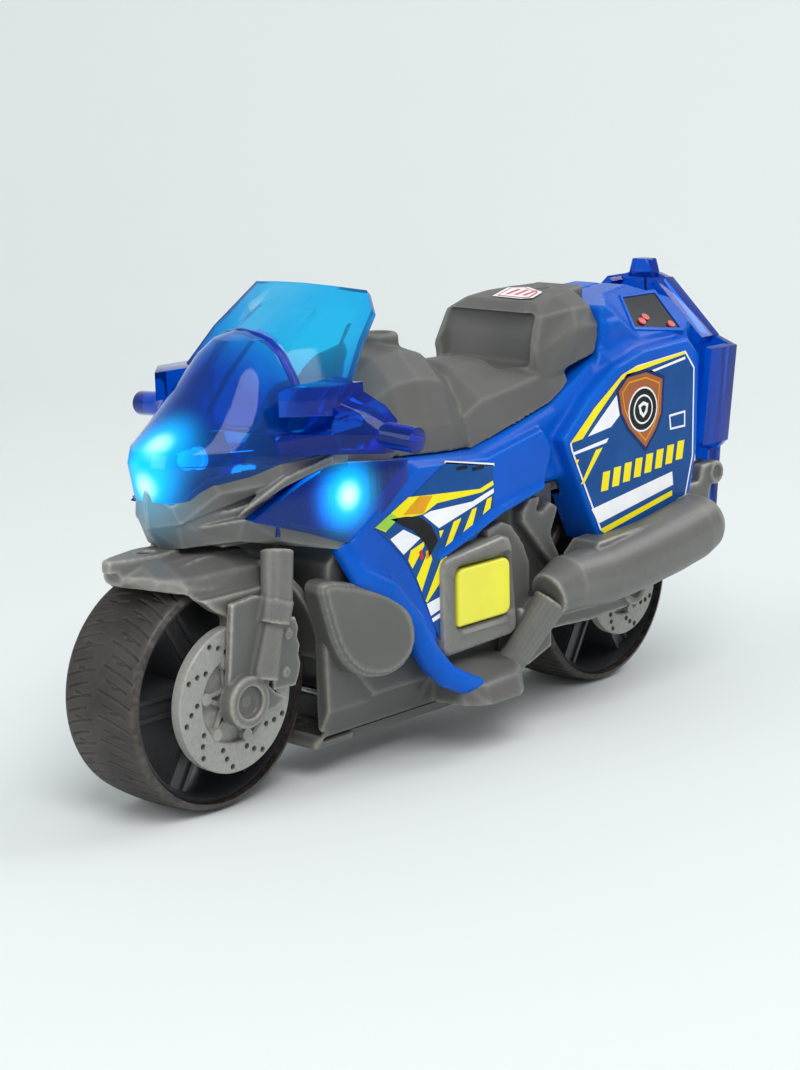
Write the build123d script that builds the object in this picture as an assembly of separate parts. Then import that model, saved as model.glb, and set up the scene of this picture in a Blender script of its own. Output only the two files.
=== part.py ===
from build123d import *
import math
import os

# A free-wheeling toy police motorcycle with lights and a sound button.
# Millimetres. +X is forward, +Y the rider's left, +Z up. The origin is on the ground, under the middle.

# Driving dimensions.
WHEELBASE = 100.0
FRONT_AXLE_X = 53.0
REAR_AXLE_X = FRONT_AXLE_X - WHEELBASE
TYRE_RADIUS = 19.6
TYRE_BORE = 17.9
TYRE_CROWN = 0.94
FRONT_HALF_WIDTH = 8.5
REAR_HALF_WIDTH = 9.0
AXLE_RADIUS = 1.0
AXLE_BORE = AXLE_RADIUS + 0.08
LENGTH = 2 * (FRONT_AXLE_X + TYRE_RADIUS)
WIDTH = 65.5
WALL = 1.6
GROUND_GAP = 5.5

CORE_Y = 13.5          # outer side of the engine halves
BODY_Y = 15.5          # outer side of the blue body along the seat
FAIRING_Y = 17.0
PANNIER_Y = 19.0
MUDGUARD_OUTER = 23.0
MUDGUARD_INNER = 21.4
MUDGUARD_HALF = 10.0
FORK_Y = 14.4
RAKE_FOOT = (47.5, 21.4)
RAKE_TOP = (37.2, 46.1)

BUTTON_X = -1.6
BUTTON_Z = 27.6
BUTTON_LENGTH = 14.0
BUTTON_HEIGHT = 10.2
BUTTON_TRAVEL = 1.0
BUTTON_GAP = 0.3

CELL_RADIUS = 5.8
CELL_LENGTH = 5.4
CELL_COUNT = 3
BATTERY_X = 4.5
BATTERY_Z = 13.4
DOOR_FRONT_X = 23.7
DOOR_REAR_X = -5.7
DOOR_HALF = 9.0
DOOR_THICK = 1.5
DOOR_GAP = 0.3
DOOR_SCREW_X = 20.4

MUFFLER_FRONT = (-15.0, 21.0, 26.0)
MUFFLER_REAR = (-64.0, 21.0, 30.4)
MUFFLER_FRONT_R = 5.0
MUFFLER_REAR_R = 6.0

TAIL_PANEL_X = -LENGTH / 2


# Building blocks.
def side_sketch(points, corner=0.0):
    """A closed outline of (x, z) points in the upright plane through the middle."""
    face = make_face(Polyline(*points, close=True).edges())
    if corner:
        face = fillet(face.vertices(), corner)
    return Plane.XZ * face


def side_slab(points, y_inner, y_outer, corner=0.0):
    """An (x, z) outline made solid from y_inner to y_outer."""
    return Pos(0, y_outer, 0) * extrude(side_sketch(points, corner), amount=y_outer - y_inner)


def plan_slab(points, z_low, z_high, corner=0.0):
    """An (x, y) outline made solid from z_low to z_high."""
    face = make_face(Polyline(*points, close=True).edges())
    if corner:
        face = fillet(face.vertices(), corner)
    return Pos(0, 0, z_low) * extrude(face, amount=z_high - z_low)


def cross_slab(points, x_rear, x_front):
    """A (y, z) outline made solid from x_rear to x_front."""
    face = make_face(Polyline(*points, close=True).edges())
    return Pos(x_rear, 0, 0) * extrude(Plane.YZ * face, amount=x_front - x_rear)


def block(x_low, x_high, y_low, y_high, z_low, z_high):
    size = Box(x_high - x_low, y_high - y_low, z_high - z_low)
    return Pos((x_low + x_high) / 2, (y_low + y_high) / 2, (z_low + z_high) / 2) * size


def cross_rod(x, z, radius, y_low, y_high):
    """A round bar along Y."""
    bar = Rot(90, 0, 0) * Cylinder(radius, y_high - y_low)
    return Pos(x, (y_low + y_high) / 2, z) * bar


def upright_rod(x, y, radius, z_low, z_high):
    return Pos(x, y, (z_low + z_high) / 2) * Cylinder(radius, z_high - z_low)


def rod_between(start, end, radius_start, radius_end=None):
    """A round bar, or a cone when the two radii differ, between two points."""
    line = Vector(*end) - Vector(*start)
    if radius_end is None:
        radius_end = radius_start
    lowest = (Align.CENTER, Align.CENTER, Align.MIN)
    if radius_end == radius_start:
        bar = Cylinder(radius_start, line.length, align=lowest)
    else:
        bar = Cone(radius_start, radius_end, line.length, align=lowest)
    return Plane(origin=start, z_dir=line) * bar


def right_of(left):
    """The right-hand copy of a left-hand piece."""
    return mirror(left, about=Plane.XZ)


def inset(points, distance):
    """An (x, z) outline moved inwards by a wall's thickness."""
    face = make_face(Polyline(*points, close=True).edges())
    return offset(face, amount=-distance)


def cavity(points, distance, y_inner, y_outer):
    """The hollow that a wall of this thickness leaves inside an (x, z) outline."""
    sketch = Plane.XZ * inset(points, distance)
    return Pos(0, y_outer, 0) * extrude(sketch, amount=y_outer - y_inner)


# Wheels: a soft tyre, a deep rim with six broad spokes, two drilled discs and a steel axle.
def tyre(axle_x, half_width):
    with BuildPart() as part:
        with BuildSketch(Plane.XY):
            with BuildLine():
                ThreePointArc(
                    (TYRE_RADIUS - TYRE_CROWN, -half_width),
                    (TYRE_RADIUS, 0),
                    (TYRE_RADIUS - TYRE_CROWN, half_width),
                )
                Line((TYRE_RADIUS - TYRE_CROWN, half_width), (TYRE_BORE, half_width))
                Line((TYRE_BORE, half_width), (TYRE_BORE, -half_width))
                Line((TYRE_BORE, -half_width), (TYRE_RADIUS - TYRE_CROWN, -half_width))
            make_face()
        revolve(axis=Axis.Y)
    return Pos(axle_x, 0, TYRE_RADIUS) * part.part


def rim(axle_x, half_width, hub_half):
    barrel_half = half_width - 2.0
    hub_radius = 4.6
    spoke_width = 4.2
    spoke_half = barrel_half - 2.5
    wheel = cross_rod(0, 0, TYRE_BORE, -barrel_half, barrel_half)
    wheel -= cross_rod(0, 0, TYRE_BORE - 1.2, -half_width, half_width)
    wheel += cross_rod(0, 0, hub_radius, -hub_half, hub_half)
    reach = TYRE_BORE - 0.6
    for turn in range(0, 360, 60):
        spoke = Pos(reach / 2, 0, 0) * Box(reach, 2 * spoke_half, spoke_width)
        wheel += Rot(0, turn + 15, 0) * spoke
    wheel -= cross_rod(0, 0, AXLE_RADIUS, -half_width * 2, half_width * 2)
    return Pos(axle_x, 0, TYRE_RADIUS) * wheel


def disc(axle_x, y_inner, y_outer, outer_radius, groups):
    """A drilled brake disc on a recessed carrier, on the left side."""
    ring_inner = 0.59 * outer_radius
    carrier_face = y_outer - 0.9
    hole_radius = 0.45
    plate = cross_rod(0, 0, outer_radius, y_inner, y_outer)
    plate -= cross_rod(0, 0, ring_inner, carrier_face, y_outer + 1)
    plate -= cross_rod(0, 0, AXLE_RADIUS, y_inner - 1, y_outer + 1)
    step = 360 / groups
    ring_width = outer_radius - ring_inner
    for group in range(groups):
        for place in range(3):
            radius = ring_inner + ring_width * (0.26 + 0.26 * place)
            angle = math.radians(41 - step * group - 8 * place)
            hole = cross_rod(radius * math.cos(angle), radius * math.sin(angle), hole_radius,
                             y_outer - 0.8, y_outer + 1)
            plate -= hole
    for window in range(5):
        angle = math.radians(18 + 72 * window)
        radius = 0.38 * outer_radius
        plate -= cross_rod(radius * math.cos(angle), radius * math.sin(angle), 0.1 * outer_radius,
                           y_inner - 1, y_outer + 1)
    return Pos(axle_x, 0, TYRE_RADIUS) * plate


def axle(axle_x, half_length):
    return cross_rod(axle_x, TYRE_RADIUS, AXLE_RADIUS, -half_length, half_length)


FRONT_DISC_IN = 9.7
FRONT_DISC_OUT = 11.9
FRONT_DISC_R = 12.2
REAR_DISC_IN = 11.3
REAR_DISC_OUT = 13.4
REAR_DISC_R = 9.5
FRONT_AXLE_HALF = 12.9
REAR_AXLE_HALF = 15.0


# Fork, mudguard and brakes.
def fork_leg():
    """The left leg: axle boss, flat web, lower tube, collar and upper tube, all one moulding."""
    foot = (RAKE_FOOT[0], FORK_Y, RAKE_FOOT[1])
    top = (RAKE_TOP[0], FORK_Y, RAKE_TOP[1])
    inner_face = FRONT_DISC_OUT + 0.4
    boss = cross_rod(FRONT_AXLE_X, TYRE_RADIUS, 4.2, inner_face, 13.8)
    boss -= cross_rod(FRONT_AXLE_X, TYRE_RADIUS, 2.5, 13.3, 15)
    web_outline = [(56.6, 21.0), (54.6, 36.4), (49.6, 38.2), (41.6, 35.6), (45.0, 20.0), (51.0, 16.2)]
    web = side_slab(web_outline, inner_face, 13.5, corner=1.0)
    lower = rod_between(foot, top, 2.05)
    upper = rod_between((42.2, FORK_Y, 34.1), top, 2.4)
    collar = rod_between((43.9, FORK_Y, 30.0), (42.2, FORK_Y, 34.1), 2.6)
    leg = boss + web + lower + upper + collar
    leg -= cross_rod(FRONT_AXLE_X, TYRE_RADIUS, AXLE_BORE, 12.0, FRONT_AXLE_HALF + 0.3)
    leg -= cross_rod(FRONT_AXLE_X, TYRE_RADIUS, FRONT_DISC_R + 0.4, 8.0, inner_face - 0.001)
    leg -= cross_rod(FRONT_AXLE_X, TYRE_RADIUS, MUDGUARD_OUTER + 0.05, 5.0, 12.05)
    return leg - fork_yoke()


def fork_yoke():
    """The cross piece that takes both upper tubes."""
    yoke = block(32.5, 41.5, -16.4, 16.4, 46.2, 50.5)
    yoke += block(24.0, 32.5, -6.0, 6.0, 46.2, 50.5)
    return yoke


def front_mudguard():
    """An arch close over the tyre, drawn out in front to a flat beak."""
    arch = cross_rod(FRONT_AXLE_X, TYRE_RADIUS, MUDGUARD_OUTER, -MUDGUARD_HALF, MUDGUARD_HALF)
    arch -= cross_rod(FRONT_AXLE_X, TYRE_RADIUS, MUDGUARD_INNER, -MUDGUARD_HALF, MUDGUARD_HALF)
    sector = [(FRONT_AXLE_X, TYRE_RADIUS), (FRONT_AXLE_X - 60, TYRE_RADIUS + 4), (20, 80), (68, 62)]
    arch &= side_slab(sector, -MUDGUARD_HALF, MUDGUARD_HALF)
    beak_side = [(53, 42.6), (70.8, 42.4), (71.4, 40.9), (66.0, 38.6), (63.0, 38.5), (53, 41.2)]
    beak = side_slab(beak_side, -MUDGUARD_HALF, MUDGUARD_HALF)
    beak_plan = [(50, -10), (60, -10), (71.4, -5), (71.4, 5), (60, 10), (50, 10)]
    beak &= plan_slab(beak_plan, 30, 50)
    guard = arch + beak
    for side in (-1, 1):
        y_low, y_high = sorted((side * MUDGUARD_HALF, side * 12.0))
        guard += side_slab([(57.8, 36.6), (53.6, 29.6), (46.0, 32.4), (45.4, 40.9), (52.0, 41.6)], y_low, y_high)
    guard -= cross_rod(FRONT_AXLE_X, TYRE_RADIUS, FRONT_DISC_R + 0.6, 9.0, 13.0)
    guard -= cross_rod(FRONT_AXLE_X, TYRE_RADIUS, FRONT_DISC_R + 0.6, -13.0, -9.0)
    guard -= cross_rod(FRONT_AXLE_X, TYRE_RADIUS, MUDGUARD_INNER, -MUDGUARD_HALF, MUDGUARD_HALF)
    return guard


def brake_caliper():
    """The front caliper behind the left fork leg, clear of the disc."""
    outline = [(40.4, 19.4), (44.9, 19.6), (44.2, 25.6), (41.0, 31.2), (38.2, 29.6), (38.6, 25.4)]
    body = side_slab(outline, FRONT_DISC_OUT + 0.45, 14.2, corner=0.7)
    return body - fork_leg()


# Engine halves: belly, crank case, inner rear fender and footboards.
CORE_OUTLINE = [(33.5, GROUND_GAP), (-9.0, GROUND_GAP), (-21.0, 12.0), (-25.2, 22.0), (-25.2, 43.0),
                (28.0, 43.0), (33.0, 38.0), (34.0, 24.0)]
CHASSIS_SCREWS = [(25.5, 13.0), (-19.5, 34.5), (18.5, 38.4)]
FENDER_LOW = 41.0
FENDER_HIGH = 43.0


def keel_cut(inward):
    """The slope that narrows the belly towards the ground."""
    outline = [(9.6 - inward, GROUND_GAP - 1), (9.6 - inward, GROUND_GAP), (14.0 - inward, 14.0), (30, 14.0),
               (30, GROUND_GAP - 1)]
    return cross_slab(outline, -40, 40)


def footboard():
    outline = [(-7.5, CORE_Y - 1), (-7.5, 22.0), (-4.5, 24.0), (5.5, 24.0), (8.5, 21.0), (9.5, CORE_Y - 1)]
    board = plan_slab(outline, 9.6, 15.2)
    slope = side_slab([(-12, 8), (-12, 13.2), (12, 17.6), (12, 25), (-14, 25)], 10, 30)
    return board - slope


def chassis_left():
    half = side_slab(CORE_OUTLINE, 0, CORE_Y) - keel_cut(0)
    hollow = cavity(CORE_OUTLINE, WALL, -1, CORE_Y - WALL) - keel_cut(WALL + 0.3)
    front_cut = cross_rod(FRONT_AXLE_X, TYRE_RADIUS, MUDGUARD_OUTER + 0.4, -20, MUDGUARD_HALF + 0.7)
    hollow -= cross_rod(FRONT_AXLE_X, TYRE_RADIUS, MUDGUARD_OUTER + 2.0, -20, MUDGUARD_HALF + 2.3)
    half = half - front_cut - hollow
    half += block(-66, -25.2, 0, 13.0, FENDER_LOW, FENDER_HIGH)
    half += footboard()
    for x, z in CHASSIS_SCREWS:
        boss = cross_rod(x, z, 2.4, 0, CORE_Y - 0.5)
        half += boss - keel_cut(0)
        half -= cross_rod(x, z, 0.9, -1, 8.0)
    half -= block(DOOR_REAR_X - DOOR_GAP, DOOR_FRONT_X + DOOR_GAP, -1, DOOR_HALF + DOOR_GAP,
                  GROUND_GAP - 1, GROUND_GAP + WALL + 0.4)
    return half


def chassis_right():
    half = right_of(chassis_left())
    for x, z in CHASSIS_SCREWS:
        half -= cross_rod(x, z, 0.9, -CORE_Y - 1, 1)
        half -= cross_rod(x, z, 1.8, -CORE_Y - 1, -CORE_Y + 1.2)
    for ring in range(6):
        angle = math.radians(60 * ring)
        half -= cross_rod(SPEAKER_X + 4 * math.cos(angle), SPEAKER_Z + 4 * math.sin(angle), 0.7, -20, -8)
    return half - cross_rod(SPEAKER_X, SPEAKER_Z, 0.7, -20, -8)


def swingarm():
    """The left arm that carries the rear axle."""
    inner_face = REAR_DISC_OUT + 0.4
    outline = [(-21.0, 16.0), (-44.0, 15.6), (-49.5, 16.0), (-50.6, 21.0), (-46.0, 23.4), (-21.0, 25.0)]
    arm = side_slab(outline, inner_face, 15.4, corner=1.2)
    arm += cross_rod(REAR_AXLE_X, TYRE_RADIUS, 3.4, inner_face, 16.0)
    arm -= cross_rod(REAR_AXLE_X, TYRE_RADIUS, AXLE_BORE, inner_face - 1, REAR_AXLE_HALF + 0.3)
    return arm


def air_guide():
    """The grey paddle behind the front wheel."""
    outline = [(37.4, 36.2), (33.6, 21.8), (27.0, 18.4), (21.5, 19.0), (18.6, 23.0), (19.6, 28.4), (24.0, 32.2),
               (30.0, 34.8)]
    paddle = side_slab(outline, 11.0, 19.4)
    slope = plan_slab([(12, 20.6), (42, 12.6), (42, 30), (12, 30)], 10, 45)
    paddle = paddle - slope
    paddle -= block(10, 34.2, 0, CORE_Y + 0.05, 0, 60)
    return paddle - cross_rod(FRONT_AXLE_X, TYRE_RADIUS, MUDGUARD_OUTER + 0.1, 0, MUDGUARD_HALF + 0.1)


def muffler(extra=0.0):
    """The silencer, a little fatter towards the rear, with a rounded end."""
    body = rod_between(MUFFLER_FRONT, MUFFLER_REAR, MUFFLER_FRONT_R + extra, MUFFLER_REAR_R + extra)
    return body


def exhaust_silencer():
    body = muffler()
    ends = body.faces().filter_by(GeomType.PLANE).sort_by(Axis.X)
    body = fillet(ends[0].edges(), 3.0)
    ends = body.faces().filter_by(GeomType.PLANE).sort_by(Axis.X)
    return fillet(ends[-1].edges(), 1.2)


def header_pipe():
    """The bent pipe from the crank case up into the silencer."""
    lower = rod_between((-9.6, 17.4, 13.4), (-16.4, 20.4, 25.0), 2.7)
    root = side_slab([(-13.4, 11.5), (-8.0, 12.5), (-12.0, 23.0), (-20.5, 22.0), (-20.5, 13.5)], CORE_Y, 18.0)
    pipe = (lower + root) - muffler(0.05) - block(-40, 40, 0, CORE_Y, 0, 60)
    return pipe - swingarm() - button_bezel() - footboard()


# Blue body halves, with the seat and tank moulding dropped in between them.
BODY_OUTLINE = [(29.6, 43.4), (26.6, 46.6), (16.6, 53.8), (-4.0, 52.2), (-24.7, 57.6), (-38.0, 64.8),
                (-39.0, 73.4), (-57.0, 75.4), (-66.6, 72.2), (-66.6, 43.4)]
FAIRING_OUTLINE = [(31.0, 42.0), (29.1, 35.4), (22.6, 32.6), (17.2, 26.5), (12.9, 17.6), (10.9, 14.0), (3.3, 10.8),
                   (1.6, 12.8), (8.1, 16.8), (9.9, 20.0), (9.9, 35.2), (7.9, 35.6), (-6.7, 41.2), (-19.2, 43.4),
                   (-19.2, 47.0), (26.0, 47.0)]
PANNIER_OUTLINE = [(-22.6, 52.0), (-32.4, 31.0), (-60.4, 34.6), (-62.8, 44.0), (-63.4, 64.6), (-50.0, 65.6),
                   (-32.0, 60.0)]
BODY_SCREWS = [(-10.0, 47.2), (-57.0, 46.8), (-48.0, 69.0)]


def tail_window(extra=0.0):
    """The dark pane on the slope beside the tail."""
    outline = [(-52.0 + extra, 68.3 + extra), (-57.6, 73.4 + extra), (-65.4 - extra, 72.0 + extra),
               (-64.6 - extra, 67.6 - extra)]
    return side_slab(outline, 13.6 - extra, 15.0 + extra)


def body_shell_left():
    shell = side_slab(BODY_OUTLINE, 0, BODY_Y)
    shell += side_slab(FAIRING_OUTLINE, CORE_Y + 0.05, FAIRING_Y)
    shell += side_slab(PANNIER_OUTLINE, 10.8, PANNIER_Y, corner=1.2)
    crash_bar = [(13.4, 19.4), (10.9, 14.0), (3.3, 10.8), (1.6, 12.8), (8.1, 16.8), (9.9, 21.0)]
    shell += side_slab(crash_bar, CORE_Y + 0.05, 20.4)
    shell -= cavity(BODY_OUTLINE, WALL, -1, BODY_Y - WALL)
    shell -= cavity(PANNIER_OUTLINE, WALL, 10.8 + WALL, PANNIER_Y - WALL)
    for x, z in BODY_SCREWS:
        shell += cross_rod(x, z, 2.4, 0, BODY_Y - WALL + 0.2)
        shell -= cross_rod(x, z, 0.9, -1, 9.0)
    shell -= muffler(0.1)
    shell -= footboard()
    shell -= air_guide()
    shell -= tail_window()
    shell -= fork_yoke()
    shell -= button_bezel()
    shell -= block(-70, 34, -1, CORE_Y, 0, 43.05)
    shell -= block(-66.4, -25, CORE_Y - 3.0, CORE_Y, 40, 43.05)
    return shell


def body_shell_right():
    shell = right_of(body_shell_left())
    for x, z in BODY_SCREWS:
        shell -= cross_rod(x, z, 0.9, -30, 1)
        shell -= cross_rod(x, z, 1.8, -30, -BODY_Y + 1.2)
    return shell


def screw_group(places, head_y, length):
    """Pan-head screws that go in from the right."""
    screws = []
    for x, z in places:
        head = cross_rod(x, z, 1.8, head_y, head_y + 1.0)
        head -= block(x - 1.2, x + 1.2, head_y - 0.1, head_y + 0.5, z - 0.2, z + 0.2)
        head -= block(x - 0.2, x + 0.2, head_y - 0.1, head_y + 0.5, z - 1.2, z + 1.2)
        screws.append(head + cross_rod(x, z, 0.9, head_y + 1.0, head_y + length))
    return Compound(children=screws)


def seat_tank_cover():
    """Tank, rider's seat and raised pillion seat in one moulding, open underneath."""
    outline = [(26.0, 54.6), (26.0, 63.0), (14.0, 70.2), (8.6, 71.2), (8.4, 72.6), (2.2, 72.2), (2.0, 70.6),
               (-7.6, 66.2), (-13.0, 63.0), (-20.5, 62.6), (-25.3, 71.2), (-40.4, 75.9), (-38.9, 73.5),
               (-37.9, 64.9), (-24.7, 57.7), (-4.0, 52.3), (16.6, 53.9)]
    cover = side_slab(outline, -14.0, 14.0)
    slope = cross_slab([(14.1, 52), (14.1, 62.0), (9.0, 76.5), (20, 76.5), (20, 52)], -45, 30)
    cover -= slope
    cover -= mirror(slope, about=Plane.XZ)
    inner = [(24.4, 55.4), (24.4, 61.8), (13.4, 68.4), (2.8, 68.8), (-8.0, 64.2), (-13.8, 60.8), (-22.0, 60.8),
             (-26.4, 69.4), (-36.6, 72.4), (-36.4, 66.0), (-24.8, 59.2), (-4.0, 53.8), (16.0, 55.4)]
    hollow = side_slab(inner, -12.2, 12.2)
    hollow_slope = cross_slab([(12.2, 52), (12.2, 60.6), (7.2, 76.5), (20, 76.5), (20, 52)], -45, 30)
    hollow -= hollow_slope
    hollow -= mirror(hollow_slope, about=Plane.XZ)
    return cover - hollow - body_envelope()


def body_envelope():
    """The space of both body halves along the seat."""
    return side_slab(BODY_OUTLINE, -BODY_Y, BODY_Y)


# Nose: grey beak, headlamp cover with screen, side lenses and bars.
def nose_trim():
    side = [(58.4, 47.0), (55.0, 43.6), (42.0, 43.2), (31.4, 40.2), (30.8, 43.2), (27.8, 46.8), (31.0, 50.2),
            (45.0, 52.2), (56.0, 51.4)]
    plan = [(58.4, 0), (57.8, 4.2), (51.0, 10.4), (44.0, 13.4), (27.0, 16.6), (27.0, 14.2), (43.4, 11.0),
            (49.4, 8.2), (54.8, 3.0), (55.2, 0)]
    half = side_slab(side, 0, 17) & plan_slab(plan, 38, 56)
    half += side_slab([(55.0, 43.6), (42.0, 43.2), (42.0, 44.8), (56.0, 45.0)], 0, 12) & plan_slab(
        [(57.0, 0), (57.0, 4.0), (51.0, 9.6), (42, 11), (42, 0)], 38, 56)
    half -= rod_between((RAKE_FOOT[0], FORK_Y, RAKE_FOOT[1]), (RAKE_TOP[0], FORK_Y, RAKE_TOP[1]), 2.45)
    half -= fork_yoke()
    return half + right_of(half)


def side_lens():
    outline = [(50.4, 48.6), (33.9, 55.6), (17.0, 54.2), (27.6, 46.4), (30.6, 43.0)]
    lens = side_slab(outline, 14.0, 18.0)
    face = plan_slab([(10, 16.8), (30.6, 16.4), (51, 14.4), (51, 30), (10, 30)], 38, 60)
    back = plan_slab([(10, 15.6), (30.6, 15.2), (51, 13.2), (51, 0), (10, 0)], 38, 60)
    lens = lens - face - back
    return lens - nose_trim() - fork_yoke() - fork_leg() - body_envelope()


def windscreen():
    """Headlamp cover, cowl and the raked screen in one clear moulding."""
    side = [(60.6, 52.2), (59.4, 57.6), (52.4, 62.0), (45.8, 63.4), (37.2, 73.6), (21.4, 82.9), (19.6, 81.6),
            (35.2, 72.0), (42.6, 62.4), (38.0, 58.2), (38.0, 55.8), (46.0, 52.4), (56.4, 51.5)]
    plan = [(60.6, -5.0), (56.0, -9.0), (46.0, -14.4), (21.0, -13.2), (19.0, -13.0), (19.0, 13.0), (21.0, 13.2),
            (46.0, 14.4), (56.0, 9.0), (60.6, 5.0)]
    shell = side_slab(side, -15, 15) & plan_slab(plan, 50, 84)
    inner_side = [(58.4, 53.6), (57.6, 56.6), (51.6, 60.2), (44.6, 61.0), (39.8, 57.4), (46.2, 53.8)]
    inner_plan = [(58.4, -4.2), (55.0, -7.6), (46.0, -12.6), (38.0, -13.4), (38.0, 13.4), (46.0, 12.6),
                  (55.0, 7.6), (58.4, 4.2)]
    shell -= side_slab(inner_side, -14, 14) & plan_slab(inner_plan, 50, 70)
    wing = side_slab([(45.6, 63.2), (37.2, 73.4), (21.6, 82.6), (19.6, 81.6), (22.6, 74.0), (31.6, 62.6)],
                     11.6, 13.2)
    return shell + wing + right_of(wing)


def handlebar():
    """The clear bar moulding: hand guards, grips and a bridge under the screen."""
    half = block(30.0, 37.6, 0, 21.6, 57.0, 62.2)
    half += block(29.6, 37.8, 14.2, 20.6, 62.2, 69.0)
    half += rod_between((32.4, 20.0, 61.6), (31.2, WIDTH / 2 - 0.1, 60.6), 2.1)
    half -= windscreen()
    half -= block(20, 26.5, 0, 15, 50, 75)
    return half + right_of(half)


# Tail: clear blue light panel and its dark side panes.
def tail_light_panel():
    outline = [(0, 41.9), (13.3, 41.9), (13.3, 31.0), (16.4, 31.0), (17.3, 42.9), (18.9, 44.4), (20.9, 63.0),
               (16.7, 64.6), (5.8, 75.0), (4.4, 75.8), (4.2, 78.5), (0, 78.5)]
    half = cross_slab(outline, TAIL_PANEL_X, TAIL_PANEL_X + 1.8)
    flange = [(17.6, 44.0), (18.9, 44.4), (20.9, 63.0), (19.4, 63.2)]
    half += cross_slab(flange, TAIL_PANEL_X, -64.0)
    roof = [(16.0, 63.0), (16.7, 64.6), (5.8, 75.0), (4.6, 74.0)]
    half += cross_slab(roof, TAIL_PANEL_X, -66.6)
    for z in (50.0, 60.0):
        half += block(TAIL_PANEL_X + 1.8, -66.6, 8.0, 11.0, z - 1.5, z + 1.5)
    return half + right_of(half)


def tail_reflectors():
    """Four small red blocks seen through the tail windows."""
    pads = []
    for side in (-1, 1):
        for x in (-57.2, -61.2):
            y_low, y_high = sorted((side * 12.2, side * 13.6))
            pads.append(block(x - 1.0, x + 1.0, y_low, y_high, 68.2, 70.0))
    return Compound(children=pads)


# Electrics.
BOARD_Y = 6.4
BOARD_THICK = 1.2
SWITCH_HEIGHT = 3.5
SPEAKER_X = -2.0
SPEAKER_Z = 29.5
SPEAKER_R = 8.5


def circuit_board():
    return block(-15.0, 14.0, BOARD_Y, BOARD_Y + BOARD_THICK, 21.6, 39.6)


def tact_switch():
    face = BOARD_Y + BOARD_THICK
    can = block(BUTTON_X - 3, BUTTON_X + 3, face, face + SWITCH_HEIGHT, BUTTON_Z - 3, BUTTON_Z + 3)
    return can + cross_rod(BUTTON_X, BUTTON_Z, 1.7, face + SWITCH_HEIGHT, face + SWITCH_HEIGHT + 1.0)


def speaker():
    frame = cross_rod(SPEAKER_X, SPEAKER_Z, SPEAKER_R, -CORE_Y + WALL, -CORE_Y + WALL + 1.4)
    magnet = cross_rod(SPEAKER_X, SPEAKER_Z, 4.6, -CORE_Y + WALL + 1.4, -CORE_Y + WALL + 4.0)
    return frame + magnet


def led(x, y, z, direction):
    """A 3 mm lamp whose dome points forward or to one side."""
    lamp = Cylinder(1.5, 3.0, align=(Align.CENTER, Align.CENTER, Align.MIN))
    lamp += Pos(0, 0, 3.0) * Sphere(1.5)
    lamp += Cylinder(1.8, 0.8, align=(Align.CENTER, Align.CENTER, Align.MIN))
    return Plane(origin=(x, y, z), z_dir=direction) * lamp


def button_cells():
    cells = []
    first = BATTERY_X - CELL_COUNT * CELL_LENGTH / 2
    for place in range(CELL_COUNT):
        low = first + place * CELL_LENGTH
        cell = Plane(origin=(low + 0.02, 0, BATTERY_Z), z_dir=(1, 0, 0)) * Cylinder(
            CELL_RADIUS, CELL_LENGTH - 0.04, align=(Align.CENTER, Align.CENTER, Align.MIN))
        cells.append(cell)
    return Compound(children=cells)


def battery_contacts():
    half = CELL_COUNT * CELL_LENGTH / 2
    rear = block(BATTERY_X - half - 0.4, BATTERY_X - half - 0.05, -4, 4, BATTERY_Z - 5, BATTERY_Z + 5)
    front = block(BATTERY_X + half + 0.9, BATTERY_X + half + 1.25, -4, 4, BATTERY_Z - 5, BATTERY_Z + 5)
    leaf = rod_between((BATTERY_X + half + 0.05, 0, BATTERY_Z), (BATTERY_X + half + 0.9, 0, BATTERY_Z), 1.5)
    return Compound(children=[rear, front + leaf])


def battery_box():
    """An open-bottomed box that holds the cells end to end, with the door's screw boss in front."""
    half = CELL_COUNT * CELL_LENGTH / 2
    low_x = BATTERY_X - half - 1.5
    high_x = DOOR_FRONT_X - 0.7
    floor = GROUND_GAP + DOOR_THICK + DOOR_GAP
    box = block(low_x, high_x, -7.4, 7.4, floor, 20.6)
    box -= block(BATTERY_X - half - 0.4, BATTERY_X + half + 1.25, -6.2, 6.2, floor - 1, BATTERY_Z + 5.9)
    return box - upright_rod(DOOR_SCREW_X, 0, 1.25, floor - 1, floor + 7)


# Moving pieces.
def button_bezel():
    outer = [(9.6, 35.0), (-8.9, 36.7), (-10.2, 19.4), (-9.0, 18.4), (7.8, 18.0), (9.6, 19.6)]
    bezel = side_slab(outer, CORE_Y, 18.0, corner=0.8)
    front = bezel.faces().sort_by(Axis.Y)[-1]
    bezel = chamfer(front.edges(), 0.6)
    half_x = BUTTON_LENGTH / 2
    half_z = BUTTON_HEIGHT / 2
    bezel -= block(BUTTON_X - half_x - 1.5, BUTTON_X + half_x + 1.5, CORE_Y - 1, 16.3,
                   BUTTON_Z - half_z - 1.5, BUTTON_Z + half_z + 1.5)
    bezel -= block(BUTTON_X - half_x - BUTTON_GAP, BUTTON_X + half_x + BUTTON_GAP, 10, 20,
                   BUTTON_Z - half_z - BUTTON_GAP, BUTTON_Z + half_z + BUTTON_GAP)
    return bezel


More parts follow.
